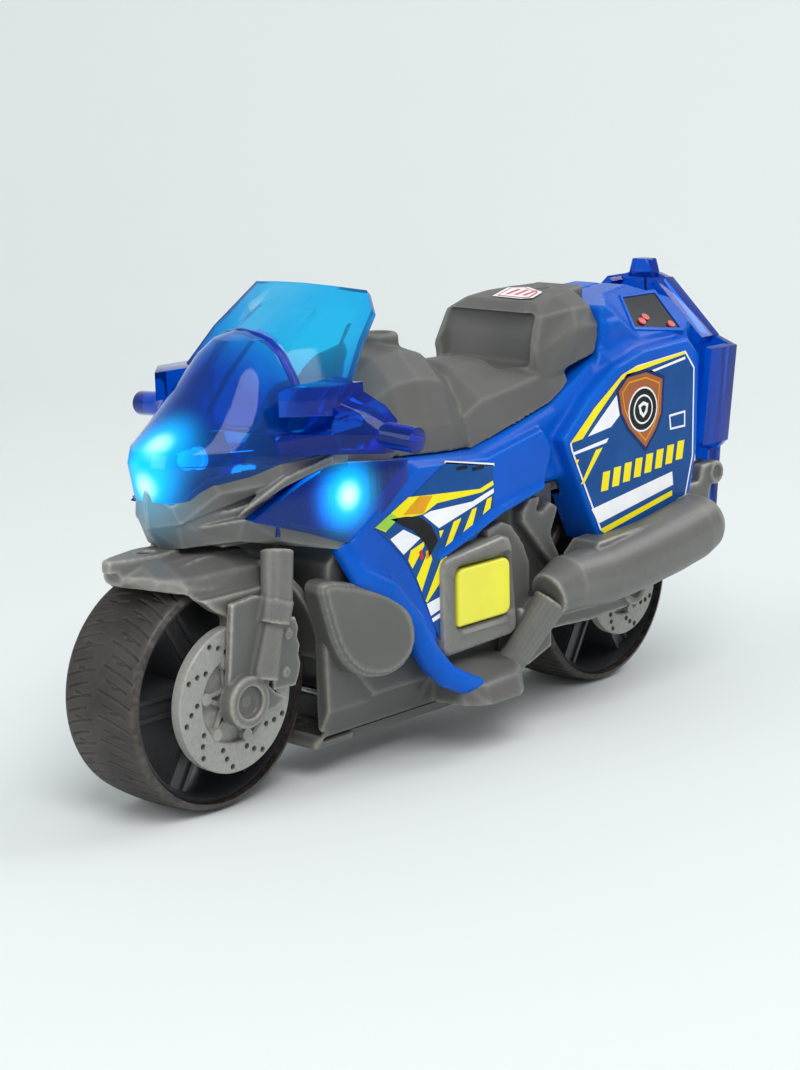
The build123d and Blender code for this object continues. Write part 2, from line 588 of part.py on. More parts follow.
def sound_button():
    half_x = BUTTON_LENGTH / 2
    half_z = BUTTON_HEIGHT / 2
    cap = block(BUTTON_X - half_x, BUTTON_X + half_x, 15.9, 18.8, BUTTON_Z - half_z, BUTTON_Z + half_z)
    cap = fillet(cap.edges().filter_by(Axis.Y), 1.6)
    cap = fillet(cap.faces().sort_by(Axis.Y)[-1].edges(), 0.5)
    flange = block(BUTTON_X - half_x - 1.1, BUTTON_X + half_x + 1.1, 15.0, 15.9,
                   BUTTON_Z - half_z - 1.1, BUTTON_Z + half_z + 1.1)
    stem_end = BOARD_Y + BOARD_THICK + SWITCH_HEIGHT + 1.0 + BUTTON_TRAVEL + 0.1
    return cap + flange + cross_rod(BUTTON_X, BUTTON_Z, 2.0, stem_end, 15.0)


def battery_door():
    door = block(DOOR_REAR_X, DOOR_FRONT_X, -DOOR_HALF, DOOR_HALF, GROUND_GAP, GROUND_GAP + DOOR_THICK)
    door = fillet(door.edges().filter_by(Axis.Z), 1.5)
    door -= upright_rod(DOOR_SCREW_X, 0, 2.0, GROUND_GAP - 1, GROUND_GAP + 1.0)
    return door - upright_rod(DOOR_SCREW_X, 0, 0.9, GROUND_GAP - 1, GROUND_GAP + 3)


def battery_door_screw():
    head = upright_rod(DOOR_SCREW_X, 0, 1.9, GROUND_GAP + 0.1, GROUND_GAP + 1.0)
    head -= block(DOOR_SCREW_X - 1.2, DOOR_SCREW_X + 1.2, -0.2, 0.2, 0, GROUND_GAP + 0.5)
    head -= block(DOOR_SCREW_X - 0.2, DOOR_SCREW_X + 0.2, -1.2, 1.2, 0, GROUND_GAP + 0.5)
    return head + upright_rod(DOOR_SCREW_X, 0, 0.9, GROUND_GAP + 1.0, GROUND_GAP + 6.5)


def build_nodes():
    front_disc = disc(FRONT_AXLE_X, FRONT_DISC_IN, FRONT_DISC_OUT, FRONT_DISC_R, 10)
    rear_disc = disc(REAR_AXLE_X, REAR_DISC_IN, REAR_DISC_OUT, REAR_DISC_R, 8)
    leg = fork_leg()
    arm = swingarm()
    guide = air_guide()
    caliper = brake_caliper()
    lens = side_lens()
    pane = tail_window()
    button_hole = cross_rod(BUTTON_X, BUTTON_Z, 2.4, CORE_Y - 3, CORE_Y + 1)
    return {
        "front_tyre": tyre(FRONT_AXLE_X, FRONT_HALF_WIDTH),
        "front_rim": rim(FRONT_AXLE_X, FRONT_HALF_WIDTH, FRONT_DISC_IN),
        "front_disc_left": front_disc,
        "front_disc_right": right_of(front_disc),
        "front_axle": axle(FRONT_AXLE_X, FRONT_AXLE_HALF),
        "rear_tyre": tyre(REAR_AXLE_X, REAR_HALF_WIDTH),
        "rear_rim": rim(REAR_AXLE_X, REAR_HALF_WIDTH, REAR_DISC_IN),
        "rear_disc_left": rear_disc,
        "rear_disc_right": right_of(rear_disc),
        "rear_axle": axle(REAR_AXLE_X, REAR_AXLE_HALF),
        "fork_leg_left": leg,
        "fork_leg_right": right_of(leg),
        "fork_yoke": fork_yoke(),
        "front_mudguard": front_mudguard(),
        "brake_caliper_left": caliper,
        "brake_caliper_right": right_of(caliper),
        "chassis_left": chassis_left() - button_hole,
        "chassis_right": chassis_right(),
        "chassis_screws": screw_group(CHASSIS_SCREWS, -CORE_Y + 0.2, 20.0),
        "swingarm_left": arm,
        "swingarm_right": right_of(arm),
        "air_guide_left": guide,
        "air_guide_right": right_of(guide),
        "exhaust_silencer": exhaust_silencer(),
        "header_pipe": header_pipe(),
        "body_shell_left": body_shell_left(),
        "body_shell_right": body_shell_right(),
        "body_screws": screw_group(BODY_SCREWS, -BODY_Y + 0.2, 23.0),
        "seat_tank_cover": seat_tank_cover(),
        "nose_trim": nose_trim(),
        "side_lens_left": lens,
        "side_lens_right": right_of(lens),
        "windscreen": windscreen(),
        "handlebar": handlebar(),
        "tail_light_panel": tail_light_panel(),
        "tail_window_left": pane,
        "tail_window_right": right_of(pane),
        "tail_reflectors": tail_reflectors(),
        "circuit_board": circuit_board(),
        "tact_switch": tact_switch(),
        "speaker": speaker(),
        "led_nose": led(48.0, 0, 57.0, (1, 0, 0)),
        "led_left": led(28.0, 9.6, 50.0, (0, 1, 0)),
        "led_right": led(28.0, -9.6, 50.0, (0, -1, 0)),
        "button_cells": button_cells(),
        "battery_contacts": battery_contacts(),
        "battery_box": battery_box(),
        "button_bezel": button_bezel(),
        "sound_button": sound_button(),
        "battery_door": battery_door(),
        "battery_door_screw": battery_door_screw(),
    }


os.makedirs("parts", exist_ok=True)
for name, solid in build_nodes().items():
    export_step(solid, "parts/" + name + ".step")
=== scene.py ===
import bpy
import bmesh
import math
import numpy as np
from mathutils import Matrix, Vector


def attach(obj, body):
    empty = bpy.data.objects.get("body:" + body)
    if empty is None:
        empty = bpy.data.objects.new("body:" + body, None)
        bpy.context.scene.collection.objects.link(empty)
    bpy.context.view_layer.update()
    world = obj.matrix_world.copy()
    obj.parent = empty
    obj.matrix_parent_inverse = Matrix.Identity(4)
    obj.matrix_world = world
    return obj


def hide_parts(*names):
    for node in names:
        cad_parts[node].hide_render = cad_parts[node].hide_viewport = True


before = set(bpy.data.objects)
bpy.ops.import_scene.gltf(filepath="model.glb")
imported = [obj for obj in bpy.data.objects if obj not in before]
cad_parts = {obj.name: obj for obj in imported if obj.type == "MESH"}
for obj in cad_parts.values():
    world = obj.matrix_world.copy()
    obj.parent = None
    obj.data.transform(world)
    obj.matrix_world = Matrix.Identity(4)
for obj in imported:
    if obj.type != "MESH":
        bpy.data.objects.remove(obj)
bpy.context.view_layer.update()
scene = bpy.context.scene
MM = 0.001


# Tyres. Two broad tyres of soft black rubber, moulded in one piece, stretched over the rims.
# Thin curved sipes run from the middle of the tread out to each shoulder, which is worn shiny.
def piece_of(name, shapes):
    """One mesh object made of (points, faces) shapes in millimetres."""
    built = bmesh.new()
    for points, faces in shapes:
        verts = [built.verts.new(Vector(point) * MM) for point in points]
        for face in faces:
            built.faces.new([verts[i] for i in face])
    bmesh.ops.recalc_face_normals(built, faces=built.faces)
    mesh = bpy.data.meshes.new(name)
    built.to_mesh(mesh)
    built.free()
    piece = bpy.data.objects.new(name, mesh)
    scene.collection.objects.link(piece)
    return piece


def settle(piece, kind, **settings):
    """Adds a modifier, applies it at once and leaves a plain mesh."""
    modifier = piece.modifiers.new(kind, kind)
    for key, value in settings.items():
        setattr(modifier, key, value)
    keep_result(piece)


def keep_result(piece):
    depsgraph = bpy.context.evaluated_depsgraph_get()
    mesh = bpy.data.meshes.new_from_object(piece.evaluated_get(depsgraph))
    old = piece.data
    piece.modifiers.clear()
    piece.data = mesh
    bpy.data.meshes.remove(old)
    mesh.name = piece.name


def loft(rings, closed=False):
    """Skins equal rings of points one after the other, with flat ends or closed into a loop."""
    count = len(rings[0])
    points = [point for ring in rings for point in ring]
    faces = []
    spans = len(rings) if closed else len(rings) - 1
    for r in range(spans):
        low = r * count
        high = (r + 1) % len(rings) * count
        for i in range(count):
            j = (i + 1) % count
            faces.append((low + i, low + j, high + j, high + i))
    if not closed:
        faces.append(tuple(range(count)))
        faces.append(tuple(range((len(rings) - 1) * count, len(rings) * count)))
    return points, faces


def oval(x, z, radius_x, radius_z, steps=24):
    return [(x + radius_x * math.cos(2 * math.pi * k / steps),
             z + radius_z * math.sin(2 * math.pi * k / steps))
            for k in range(steps)]


def lathe(profile, x, z, steps=64):
    """A closed (y, radius) outline turned about an axle along Y at (x, z)."""
    rings = []
    for step in range(steps):
        turn = 2 * math.pi * step / steps
        rings.append([(x + r * math.cos(turn), y, z + r * math.sin(turn)) for y, r in profile])
    return loft(rings, closed=True)


def round_bar(x, z, radius, y_low, y_high, steps=24):
    return loft([[(a, y, b) for a, b in oval(x, z, radius, radius, steps)] for y in (y_low, y_high)])


def ring_of(name, seed, count, axis_x, axis_z):
    """Repeats one mesh round an axle along Y with geometry nodes, and keeps the result as one mesh."""
    group = bpy.data.node_groups.new("ring_of", "GeometryNodeTree")
    group.interface.new_socket(name="Part", in_out="INPUT", socket_type="NodeSocketObject")
    group.interface.new_socket(name="Count", in_out="INPUT", socket_type="NodeSocketInt")
    group.interface.new_socket(name="Centre", in_out="INPUT", socket_type="NodeSocketVector")
    group.interface.new_socket(name="Result", in_out="OUTPUT", socket_type="NodeSocketGeometry")
    nodes = group.nodes
    link = group.links.new
    given = nodes.new("NodeGroupInput")
    result = nodes.new("NodeGroupOutput")
    source = nodes.new("GeometryNodeObjectInfo")
    line = nodes.new("GeometryNodeMeshLine")
    index = nodes.new("GeometryNodeInputIndex")
    share = nodes.new("ShaderNodeMath")
    share.operation = "DIVIDE"
    angle = nodes.new("ShaderNodeMath")
    angle.operation = "MULTIPLY"
    angle.inputs[1].default_value = 2 * math.pi
    turn = nodes.new("ShaderNodeCombineXYZ")
    copies = nodes.new("GeometryNodeInstanceOnPoints")
    real = nodes.new("GeometryNodeRealizeInstances")
    weld = nodes.new("GeometryNodeMergeByDistance")
    weld.inputs["Distance"].default_value = 0.004 * MM
    move = nodes.new("GeometryNodeTransform")
    link(given.outputs["Part"], source.inputs["Object"])
    link(given.outputs["Count"], line.inputs["Count"])
    line.inputs["Offset"].default_value = (0, 0, 0)
    link(index.outputs[0], share.inputs[0])
    link(given.outputs["Count"], share.inputs[1])
    link(share.outputs[0], angle.inputs[0])
    link(angle.outputs[0], turn.inputs["Y"])
    link(line.outputs[0], copies.inputs["Points"])
    link(source.outputs["Geometry"], copies.inputs["Instance"])
    link(turn.outputs[0], copies.inputs["Rotation"])
    link(copies.outputs[0], real.inputs[0])
    link(real.outputs[0], weld.inputs[0])
    link(weld.outputs[0], move.inputs["Geometry"])
    link(given.outputs["Centre"], move.inputs["Translation"])
    link(move.outputs[0], result.inputs[0])
    piece = piece_of(name, [])
    modifier = piece.modifiers.new("ring_of", "NODES")
    modifier.node_group = group
    values = {"Part": seed, "Count": count, "Centre": (axis_x * MM, 0, axis_z * MM)}
    for socket in group.interface.items_tree:
        if socket.name in values:
            modifier[socket.identifier] = values[socket.name]
    keep_result(piece)
    bpy.data.objects.remove(seed)
    return piece


def mark_edges(piece, sharp=35.0):
    """Smooth shading with sharp creases, and an "edge" attribute that is high on worn outer edges."""
    mesh = piece.data
    mesh.polygons.foreach_set("use_smooth", [True] * len(mesh.polygons))
    mesh.set_sharp_from_angle(angle=math.radians(sharp))
    count = len(mesh.vertices)
    co = np.zeros(count * 3)
    mesh.vertices.foreach_get("co", co)
    co = co.reshape(-1, 3)
    normal = np.zeros(count * 3)
    mesh.vertices.foreach_get("normal", normal)
    normal = normal.reshape(-1, 3)
    pairs = np.zeros(len(mesh.edges) * 2, int)
    mesh.edges.foreach_get("vertices", pairs)
    a, b = pairs.reshape(-1, 2).T
    joined = np.bincount(np.concatenate([a, b]), minlength=count).clip(1)[:, None]
    total = np.zeros((count, 3))
    np.add.at(total, a, co[b])
    np.add.at(total, b, co[a])
    reach = np.zeros(count)
    length = np.linalg.norm(co[a] - co[b], axis=1)
    np.add.at(reach, a, length)
    np.add.at(reach, b, length)
    reach = reach[:, None] / joined
    bend = ((co - total / joined) * normal).sum(1) / reach[:, 0].clip(1e-7)
    for _ in range(2):
        spread = np.zeros(count)
        np.add.at(spread, a, bend[b])
        np.add.at(spread, b, bend[a])
        bend = 0.5 * bend + 0.5 * spread / joined[:, 0]
    attribute = mesh.attributes.new("edge", "FLOAT", "POINT")
    attribute.data.foreach_set("value", (bend * 6.0).clip(0, 1).astype(np.float32))


class Value:
    """A number or colour inside a finish; ordinary sums on it add shader nodes."""
    def __init__(self, finish, socket):
        self.finish = finish
        self.socket = socket

    def sum(self, operation, first, second):
        node = self.finish.node("ShaderNodeMath", {"operation": operation}, {0: first, 1: second})
        return Value(self.finish, node.outputs[0])

    def __add__(self, other):
        return self.sum("ADD", self, other)

    def __radd__(self, other):
        return self.sum("ADD", other, self)

    def __sub__(self, other):
        return self.sum("SUBTRACT", self, other)

    def __rsub__(self, other):
        return self.sum("SUBTRACT", other, self)

    def __mul__(self, other):
        return self.sum("MULTIPLY", self, other)

    def __rmul__(self, other):
        return self.sum("MULTIPLY", other, self)

    def __pow__(self, other):
        return self.sum("POWER", self, other)

    def from_to(self, low, high):
        """0 below low, 1 above high, and smooth in between."""
        node = self.finish.node("ShaderNodeMapRange", {"interpolation_type": "SMOOTHSTEP"},
                                {"Value": self, "From Min": low, "From Max": high})
        return Value(self.finish, node.outputs[0])


class Finish:
    """One procedural material round a Principled shader."""
    def __init__(self, name, constants):
        self.material = bpy.data.materials.new(name)
        self.material.use_nodes = True
        self.tree = self.material.node_tree
        self.shader = self.tree.nodes["Principled BSDF"]
        self.where = self.node("ShaderNodeTexCoord").outputs["Object"]
        for label, value in constants.items():
            self.shader.inputs[label].default_value = value

    def node(self, kind, settings=None, inputs=None):
        node = self.tree.nodes.new(kind)
        for key, value in (settings or {}).items():
            setattr(node, key, value)
        for key, value in (inputs or {}).items():
            self.feed(node.inputs[key], value)
        return node

    def feed(self, socket, value):
        if isinstance(value, Value):
            self.tree.links.new(value.socket, socket)
        else:
            socket.default_value = value

    def noise(self, size, detail=2.0):
        """Soft random patches of about this size in millimetres."""
        node = self.node("ShaderNodeTexNoise", {}, {"Scale": 1 / (size * MM), "Detail": detail})
        self.tree.links.new(self.where, node.inputs["Vector"])
        return Value(self, node.outputs[0])

    def place(self):
        """The point's x, y and z in millimetres."""
        node = self.node("ShaderNodeSeparateXYZ")
        self.tree.links.new(self.where, node.inputs[0])
        return [Value(self, node.outputs[i]) * 1000.0 for i in range(3)]

    def distance(self, point):
        """How far the surface is from a point, in millimetres."""
        x, y, z = self.place()
        square = (x - point[0]) ** 2.0 + (y - point[1]) ** 2.0 + (z - point[2]) ** 2.0
        return square ** 0.5

    def attribute(self, name):
        node = self.node("ShaderNodeAttribute", {"attribute_name": name})
        return Value(self, node.outputs["Fac"])

    def blend(self, share, first, second):
        node = self.node("ShaderNodeMix", {"data_type": "RGBA"}, {0: share, 6: first, 7: second})
        return Value(self, node.outputs[2])

    def give(self, label, value):
        self.feed(self.shader.inputs[label], value)

    def bump(self, height, strength, depth):
        node = self.node("ShaderNodeBump", {},
                         {"Height": height, "Strength": strength, "Distance": depth * MM})
        self.tree.links.new(node.outputs[0], self.shader.inputs["Normal"])


def tint(red, green, blue):
    """A colour from screen values 0 to 255."""
    return tuple((((v / 255) + 0.055) / 1.055) ** 2.4 if v > 10 else v / 255 / 12.92
                 for v in (red, green, blue)) + (1.0,)


def fit(piece, material, body, slot, *nodes):
    """Gives a piece its material, its body and the CAD nodes it stands for. The slot argument is not used."""
    if material is not None:
        piece.data.materials.clear()
        piece.data.materials.append(material)
    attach(piece, body)
    if nodes:
        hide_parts(*nodes)


TYRE_R = 19.6
BORE_R = 17.95
FRONT_X = 53.0
REAR_X = -47.0
SEGMENTS = 30
RUBBER = Finish("tyre_rubber", {"IOR": 1.52, "Specular IOR Level": 0.42})
mottle = RUBBER.noise(9.0, 4.0)
scuff = RUBBER.noise(1.1, 3.0)
worn = RUBBER.attribute("edge")
dark_rubber = RUBBER.blend(mottle.from_to(0.3, 0.7), tint(40, 37, 35), tint(62, 57, 53))
RUBBER.give("Base Color", RUBBER.blend(worn * 0.5 * scuff.from_to(0.3, 0.8), dark_rubber,
                                       tint(112, 104, 96)))
RUBBER.give("Roughness", 0.52 - 0.22 * worn + 0.16 * scuff)
RUBBER.bump(scuff + RUBBER.noise(0.35), 0.28, 0.05)


def sipe_depth(turn, across, half):
    """How deep the tread is cut at this share of a segment and this distance from the middle."""
    side = abs(across) / half
    depth = 0.0
    for start, begin, end in ((0.05, 0.10, 0.93), (0.55, 0.22, 0.80)):
        centre = (start + 0.62 * side ** 1.6 + (0.25 if across < 0 else 0.0)) % 1.0
        gap = abs(turn - centre)
        gap = min(gap, 1 - gap)
        if begin < side < end:
            depth = max(depth, 1 - gap / 0.075)
    centre = 0.86 if across > 0 else 0.36
    gap = min(abs(turn - centre), 1 - abs(turn - centre))
    if 0.40 < side < 0.62:
        depth = max(depth, 1.15 - gap / 0.085)
    return min(max(depth, 0.0), 1.0) * 0.30


def tyre(name, centre_x, half):
    steps = 26
    rows = 58
    arc = 2 * math.pi / SEGMENTS
    points = []
    faces = []
    for s in range(steps + 1):
        angle = arc * s / steps
        for r in range(rows + 1):
            y = (r / rows * 2 - 1) * half
            out = TYRE_R - 0.7 * (y / half) ** 2 - sipe_depth(s / steps % 1.0, y, half)
            edge = half - abs(y)
            if edge < 1.0:
                out -= 1.0 - math.sqrt(max(1.0 - (1.0 - edge) ** 2, 0.0))
            out = max(out, BORE_R)
            points.append((out * math.cos(angle), y, -out * math.sin(angle)))
        points.append((BORE_R * math.cos(angle), half, -BORE_R * math.sin(angle)))
        points.append((BORE_R * math.cos(angle), -half, -BORE_R * math.sin(angle)))
    width = rows + 3
    for s in range(steps):
        for r in range(width):
            n = (r + 1) % width
            faces.append((s * width + r, s * width + n, (s + 1) * width + n, (s + 1) * width + r))
    seed = piece_of("tread_segment", [(points, faces)])
    piece = ring_of(name, seed, SEGMENTS, centre_x, TYRE_R)
    built = bmesh.new()
    built.from_mesh(piece.data)
    bmesh.ops.dissolve_degenerate(built, dist=0.002 * MM, edges=built.edges)
    bmesh.ops.recalc_face_normals(built, faces=built.faces)
    built.to_mesh(piece.data)
    built.free()
    mark_edges(piece, 50)
    return piece


fit(tyre("front_tyre_rubber", FRONT_X, 8.5), RUBBER.material, "front_wheel", "tyre_black", "front_tyre")
fit(tyre("rear_tyre_rubber", REAR_X, 9.0), RUBBER.material, "rear_wheel", "tyre_black", "rear_tyre")


# Rims. Deep black plastic rims with six broad ribbed spokes, pressed on to the axle.
def moulded(name, colour, light, roughness=0.42, wear=0.55, coat=0.0, grain=0.16, gloss=0.5):
    """Coloured plastic: faint mottling, a fine grain, and paler rubbed edges."""
    finish = Finish(name, {"IOR": 1.5, "Specular IOR Level": gloss, "Coat Weight": coat,
                           "Coat Roughness": 0.12})
    patches = finish.noise(14.0, 3.0)
    fine = finish.noise(0.8, 3.0)
    edge = finish.attribute("edge")
    deep = tuple(c * 0.86 for c in colour[:3]) + (1.0,)
    base = finish.blend(patches.from_to(0.3, 0.7), deep, colour)
    finish.give("Base Color", finish.blend(edge * (0.4 + fine) * wear, base, light))
    finish.give("Roughness", roughness + 0.10 * (patches - 0.5) + 0.10 * (fine - 0.5) - 0.05 * edge)
    finish.bump(finish.noise(0.25) + 0.6 * fine, grain, 0.03)
    return finish.material


BLACK_PLASTIC = moulded("rim_plastic", tint(24, 24, 26), tint(80, 80, 84), 0.36)


def side(points, y_inner, y_outer):
    """An (x, z) outline made solid from y_inner to y_outer."""
    return loft([[(x, y, z) for x, z in points] for y in (y_inner, y_outer)])


def plan(points, z_low, z_high):
    return loft([[(x, y, z) for x, y in points] for z in (z_low, z_high)])


def cross(points, x_rear, x_front):
    return loft([[(x, y, z) for y, z in points] for x in (x_rear, x_front)])


def block(x_low, x_high, y_low, y_high, z_low, z_high):
    return plan([(x_low, y_low), (x_high, y_low), (x_high, y_high), (x_low, y_high)], z_low, z_high)


def mirrored(shape):
    points, faces = shape
    return [(x, -y, z) for x, y, z in points], faces


def carve(piece, tools, operation="DIFFERENCE"):
    tool = piece_of("tool", tools)
    settle(piece, "BOOLEAN", object=tool, operation=operation, solver="EXACT", use_self=True)
    bpy.data.objects.remove(tool)


def rim(name, centre_x, half, hub_half):
    lip = half - 0.7
    barrel = [(-lip, 17.1), (-lip + 0.5, 17.9), (lip - 0.5, 17.9), (lip, 17.1), (lip - 1.6, 16.6),
              (0, 16.0),
              (-lip + 1.6, 16.6)]
    hub = [(-hub_half, 1.02), (-hub_half, 4.4), (-hub_half + 2, 5.0), (hub_half - 2, 5.0), (hub_half, 4.4),
           (hub_half, 1.02)]
    spoke = [(4.0, -2.6), (16.6, -1.8), (16.6, 1.8), (4.0, 2.6)]
    ribs = [side(spoke, -half + 3.0, half - 3.0)]
    for z in (-1.5, 1.5):
        for y in (half - 3.1, 2.5 - half):
            ribs.append(block(4.4, 16.4, y, y + 0.6, z - 0.35, z + 0.35))
    seed = piece_of("spoke", ribs)
    piece = ring_of(name, seed, 6, centre_x, TYRE_R)
    body = piece_of("barrel", [lathe(barrel, centre_x, TYRE_R, 96), lathe(hub, centre_x, TYRE_R, 48)])
    join(piece, body)
    mark_edges(piece, 30)
    return piece


def join(piece, other):
    with bpy.context.temp_override(active_object=piece, object=piece, selected_objects=[piece, other],
                                   selected_editable_objects=[piece, other]):
        bpy.ops.object.join()


fit(rim("front_rim_cast", FRONT_X, 8.5, 9.7), BLACK_PLASTIC, "front_wheel", "rim_black", "front_rim")
fit(rim("rear_rim_cast", REAR_X, 9.0, 11.3), BLACK_PLASTIC, "rear_wheel", "rim_black", "rear_rim")


# Brake discs. One grey moulding on each side of each wheel: a drilled ring, twelve thin bars and six
# bolt heads round a hub, pressed on to the axle.
GREY = moulded("grey_plastic", tint(102, 102, 99), tint(184, 180, 168), 0.38, 0.95)
DISC_GREY = moulded("disc_plastic", tint(116, 116, 114), tint(184, 182, 174), 0.38, 0.6)


def disc(name, centre_x, y_inner, y_outer, radius, groups):
    inner = 0.59 * radius
    ring = [(y_inner, inner), (y_inner, radius - 0.2), (y_inner + 0.2, radius), (y_outer - 0.25, radius),
            (y_outer, radius - 0.25), (y_outer, inner + 0.3), (y_outer - 0.3, inner)]
    carrier = [(y_inner + 0.2, 1.05), (y_inner + 0.2, inner + 0.3), (y_outer - 1.3, inner + 0.3),
               (y_outer - 1.3, 1.05)]
    hub = [(y_inner + 0.1, 1.05), (y_inner + 0.1, 0.44 * inner), (y_outer - 0.4, 0.40 * inner),
           (y_outer - 0.4, 1.05)]
    piece = piece_of(name, [lathe(ring, centre_x, TYRE_R, 96)])
    holes = []
    for group in range(groups):
        for place in range(3):
            reach = inner + (radius - inner) * (0.26 + 0.26 * place)
            angle = math.radians(41 - 360 / groups * group - 8 * place)
            holes.append(round_bar(centre_x + reach * math.cos(angle), TYRE_R + reach * math.sin(angle),
                                   0.5,
                                   y_outer - 1.0, y_outer + 1, 12))
    carve(piece, holes)
    bolts = []
    for turn in range(6):
        angle = math.radians(60 * turn + 12)
        x = centre_x + 0.93 * inner * math.cos(angle)
        z = TYRE_R + 0.93 * inner * math.sin(angle)
        bolts.append(round_bar(x, z, 0.14 * inner, y_outer - 1.4, y_outer + 0.15, 16))
        for spread in (-26, 26):
            root = math.radians(60 * turn + 12 + spread)
            hub_x = centre_x + 0.36 * inner * math.cos(root)
            hub_z = TYRE_R + 0.36 * inner * math.sin(root)
            bolts.append(strut((hub_x, y_outer - 0.9, hub_z), (x, y_outer - 0.9, z), 0.42))
    join(piece, piece_of("spider", bolts + [lathe(carrier, centre_x, TYRE_R, 64),
                                            lathe(hub, centre_x, TYRE_R, 48)]))
    mark_edges(piece, 30)
    return piece


def tube(path, radii, sides=16):
    """A round bar along a path, with its own radius at each point."""
    rings = []
    side_way = Vector((0, 0, 1))
    for i, point in enumerate(path):
        before = Vector(path[max(i - 1, 0)])
        after = Vector(path[min(i + 1, len(path) - 1)])
        along = (after - before).normalized()
        side_way = (side_way - along * side_way.dot(along)).normalized()
        if side_way.length < 0.5:
            side_way = along.orthogonal().normalized()
        up = along.cross(side_way)
        rings.append([tuple(Vector(point) + radii[i] * (side_way * math.cos(2 * math.pi * k / sides)
                                                        + up * math.sin(2 * math.pi * k / sides)))
                      for k in range(sides)])
    return loft(rings)


def strut(start, end, radius):
    return tube([start, end], [radius, radius], 8)


def right_of(left, name):
    """The right-hand copy of a left-hand piece."""
    mesh = left.data.copy()
    mesh.name = name
    mesh.transform(Matrix.Scale(-1, 4, (0, 1, 0)))
    mesh.flip_normals()
    copy = bpy.data.objects.new(name, mesh)
    scene.collection.objects.link(copy)
    return copy


def fit_pair(left, material, body, slot, *nodes):
    """Fits a left-hand piece and its right-hand copy, for nodes that are named the same way."""
    fit(left, material, body, slot, *nodes)
    fit(right_of(left, left.name.replace("_left", "_right")), material, body, slot,
        *[node.replace("_left", "_right") for node in nodes])


for wheel, centre_x, inner_y, outer_y, radius, groups in (("front", FRONT_X, 9.7, 11.9, 12.2, 10),
                                                          ("rear", REAR_X, 11.3, 13.4, 9.5, 8)):
    left = disc(wheel + "_disc_ring_left", centre_x, inner_y, outer_y, radius, groups)
    fit_pair(left, DISC_GREY, wheel + "_wheel", "disc_grey", wheel + "_disc_left")


# Fork legs. Each is one grey moulding: a round boss on the axle, a flat web, a slim lower tube with a collar,
# and a thicker upper tube up to the yoke. The caliper is moulded to the leg's back edge.
def melt(name, shapes, cuts=(), grain=0.34, soften=4, most=60000):
    """Shapes grown together and softened at every edge, as a plastic moulding is."""
    piece = piece_of(name, shapes)
    if cuts:
        settle(piece, "REMESH", mode="VOXEL", voxel_size=grain * MM)
        tool = piece_of("tool", cuts)
        settle(tool, "REMESH", mode="VOXEL", voxel_size=grain * MM)
        settle(piece, "BOOLEAN", object=tool, operation="DIFFERENCE", solver="EXACT")
        bpy.data.objects.remove(tool)
    settle(piece, "REMESH", mode="VOXEL", voxel_size=grain * MM)
    settle(piece, "SMOOTH", factor=0.5, iterations=soften)
    if len(piece.data.polygons) > most:
        settle(piece, "DECIMATE", ratio=most / len(piece.data.polygons))
    mark_edges(piece, 60)
    return piece


def ring_boss(x, z, outer, y_low, y_high, inner=0.0, floor=0.0):
    """A round boss with a dished face."""
    profile = [(y_low, 0.001), (y_low, outer), (y_high - 0.3, outer), (y_high, outer - 0.3)]
    if inner:
        profile += [(y_high, inner + 0.2), (floor, inner), (floor, 0.001)]
    else:
        profile += [(y_high, 0.001)]
    return lathe(profile, x, z, 40)


leg_shapes = [
    ring_boss(FRONT_X, TYRE_R, 4.3, 12.3, 15.4, 2.5, 14.2),
    ring_boss(FRONT_X, TYRE_R, 1.2, 12.5, 14.3),
    side([(56.4, 21.0), (55.8, 25.0), (54.7, 35.8), (49.6, 36.3), (44.6, 35.0), (45.6, 24.0), (50.2, 15.8)],
         12.3, 13.6),
    tube([(49.2, 14.5, 22.6), (46.5, 14.4, 31.8)], [2.35, 1.85], 28),
    tube([(46.6, 14.4, 31.4), (45.6, 14.4, 35.0)], [2.75, 2.75], 28),
    tube([(45.7, 14.4, 34.8), (43.5, 12.6, 42.5)], [2.6, 2.7], 28),
    side([(52.4, 16.4), (46.2, 16.8), (43.6, 18.2), (45.6, 19.2), (49.0, 22.4)], 12.4, 13.8),
]
leg = melt("fork_leg_casting_left", leg_shapes, grain=0.26, soften=3)
fit_pair(leg, GREY, "motorcycle", "trim_grey", "fork_leg_left")

caliper_shapes = [
    side([(41.4, 19.6), (46.4, 19.9), (46.2, 25.6), (43.6, 31.0), (41.0, 31.2), (40.3, 29.2), (40.7, 27.8),
          (40.1, 26.2), (40.5, 24.8), (40.1, 23.0), (40.6, 21.2)], 12.5, 13.8),
    ring_boss(42.8, 28.6, 1.0, 13.4, 14.2),
    ring_boss(43.6, 22.4, 1.0, 13.4, 14.2),
]
caliper = melt("caliper_left", caliper_shapes, grain=0.22, soften=2)
fit_pair(caliper, GREY, "motorcycle", "trim_grey", "brake_caliper_left")

yoke = melt("fork_cross_piece", [block(33.0, 41.2, -13.4, 13.4, 46.4, 50.2),
                                 block(24.4, 33.5, -5.8, 5.8, 46.4, 50.2)],
            soften=2)
fit(yoke, GREY, "motorcycle", "trim_grey", "fork_yoke")


# Front mudguard. A grey moulding close over the tyre, drawn out to a flat beak with a small hole, with cheeks
# down each side where the fork legs clip on.
def arc_points(centre_x, centre_z, radius, first, last, steps):
    return [(centre_x + radius * math.cos(math.radians(first + (last - first) * k / steps)),
             centre_z + radius * math.sin(math.radians(first + (last - first) * k / steps)))
            for k in range(steps + 1)]


arch_front = arc_points(FRONT_X, TYRE_R, 22.8, 68, 112, 12) + arc_points(FRONT_X, TYRE_R, 21.5, 112, 68, 12)
arch_rear = arc_points(FRONT_X, TYRE_R, 22.9, 112, 176, 16) + arc_points(FRONT_X, TYRE_R, 21.5, 176, 112, 16)


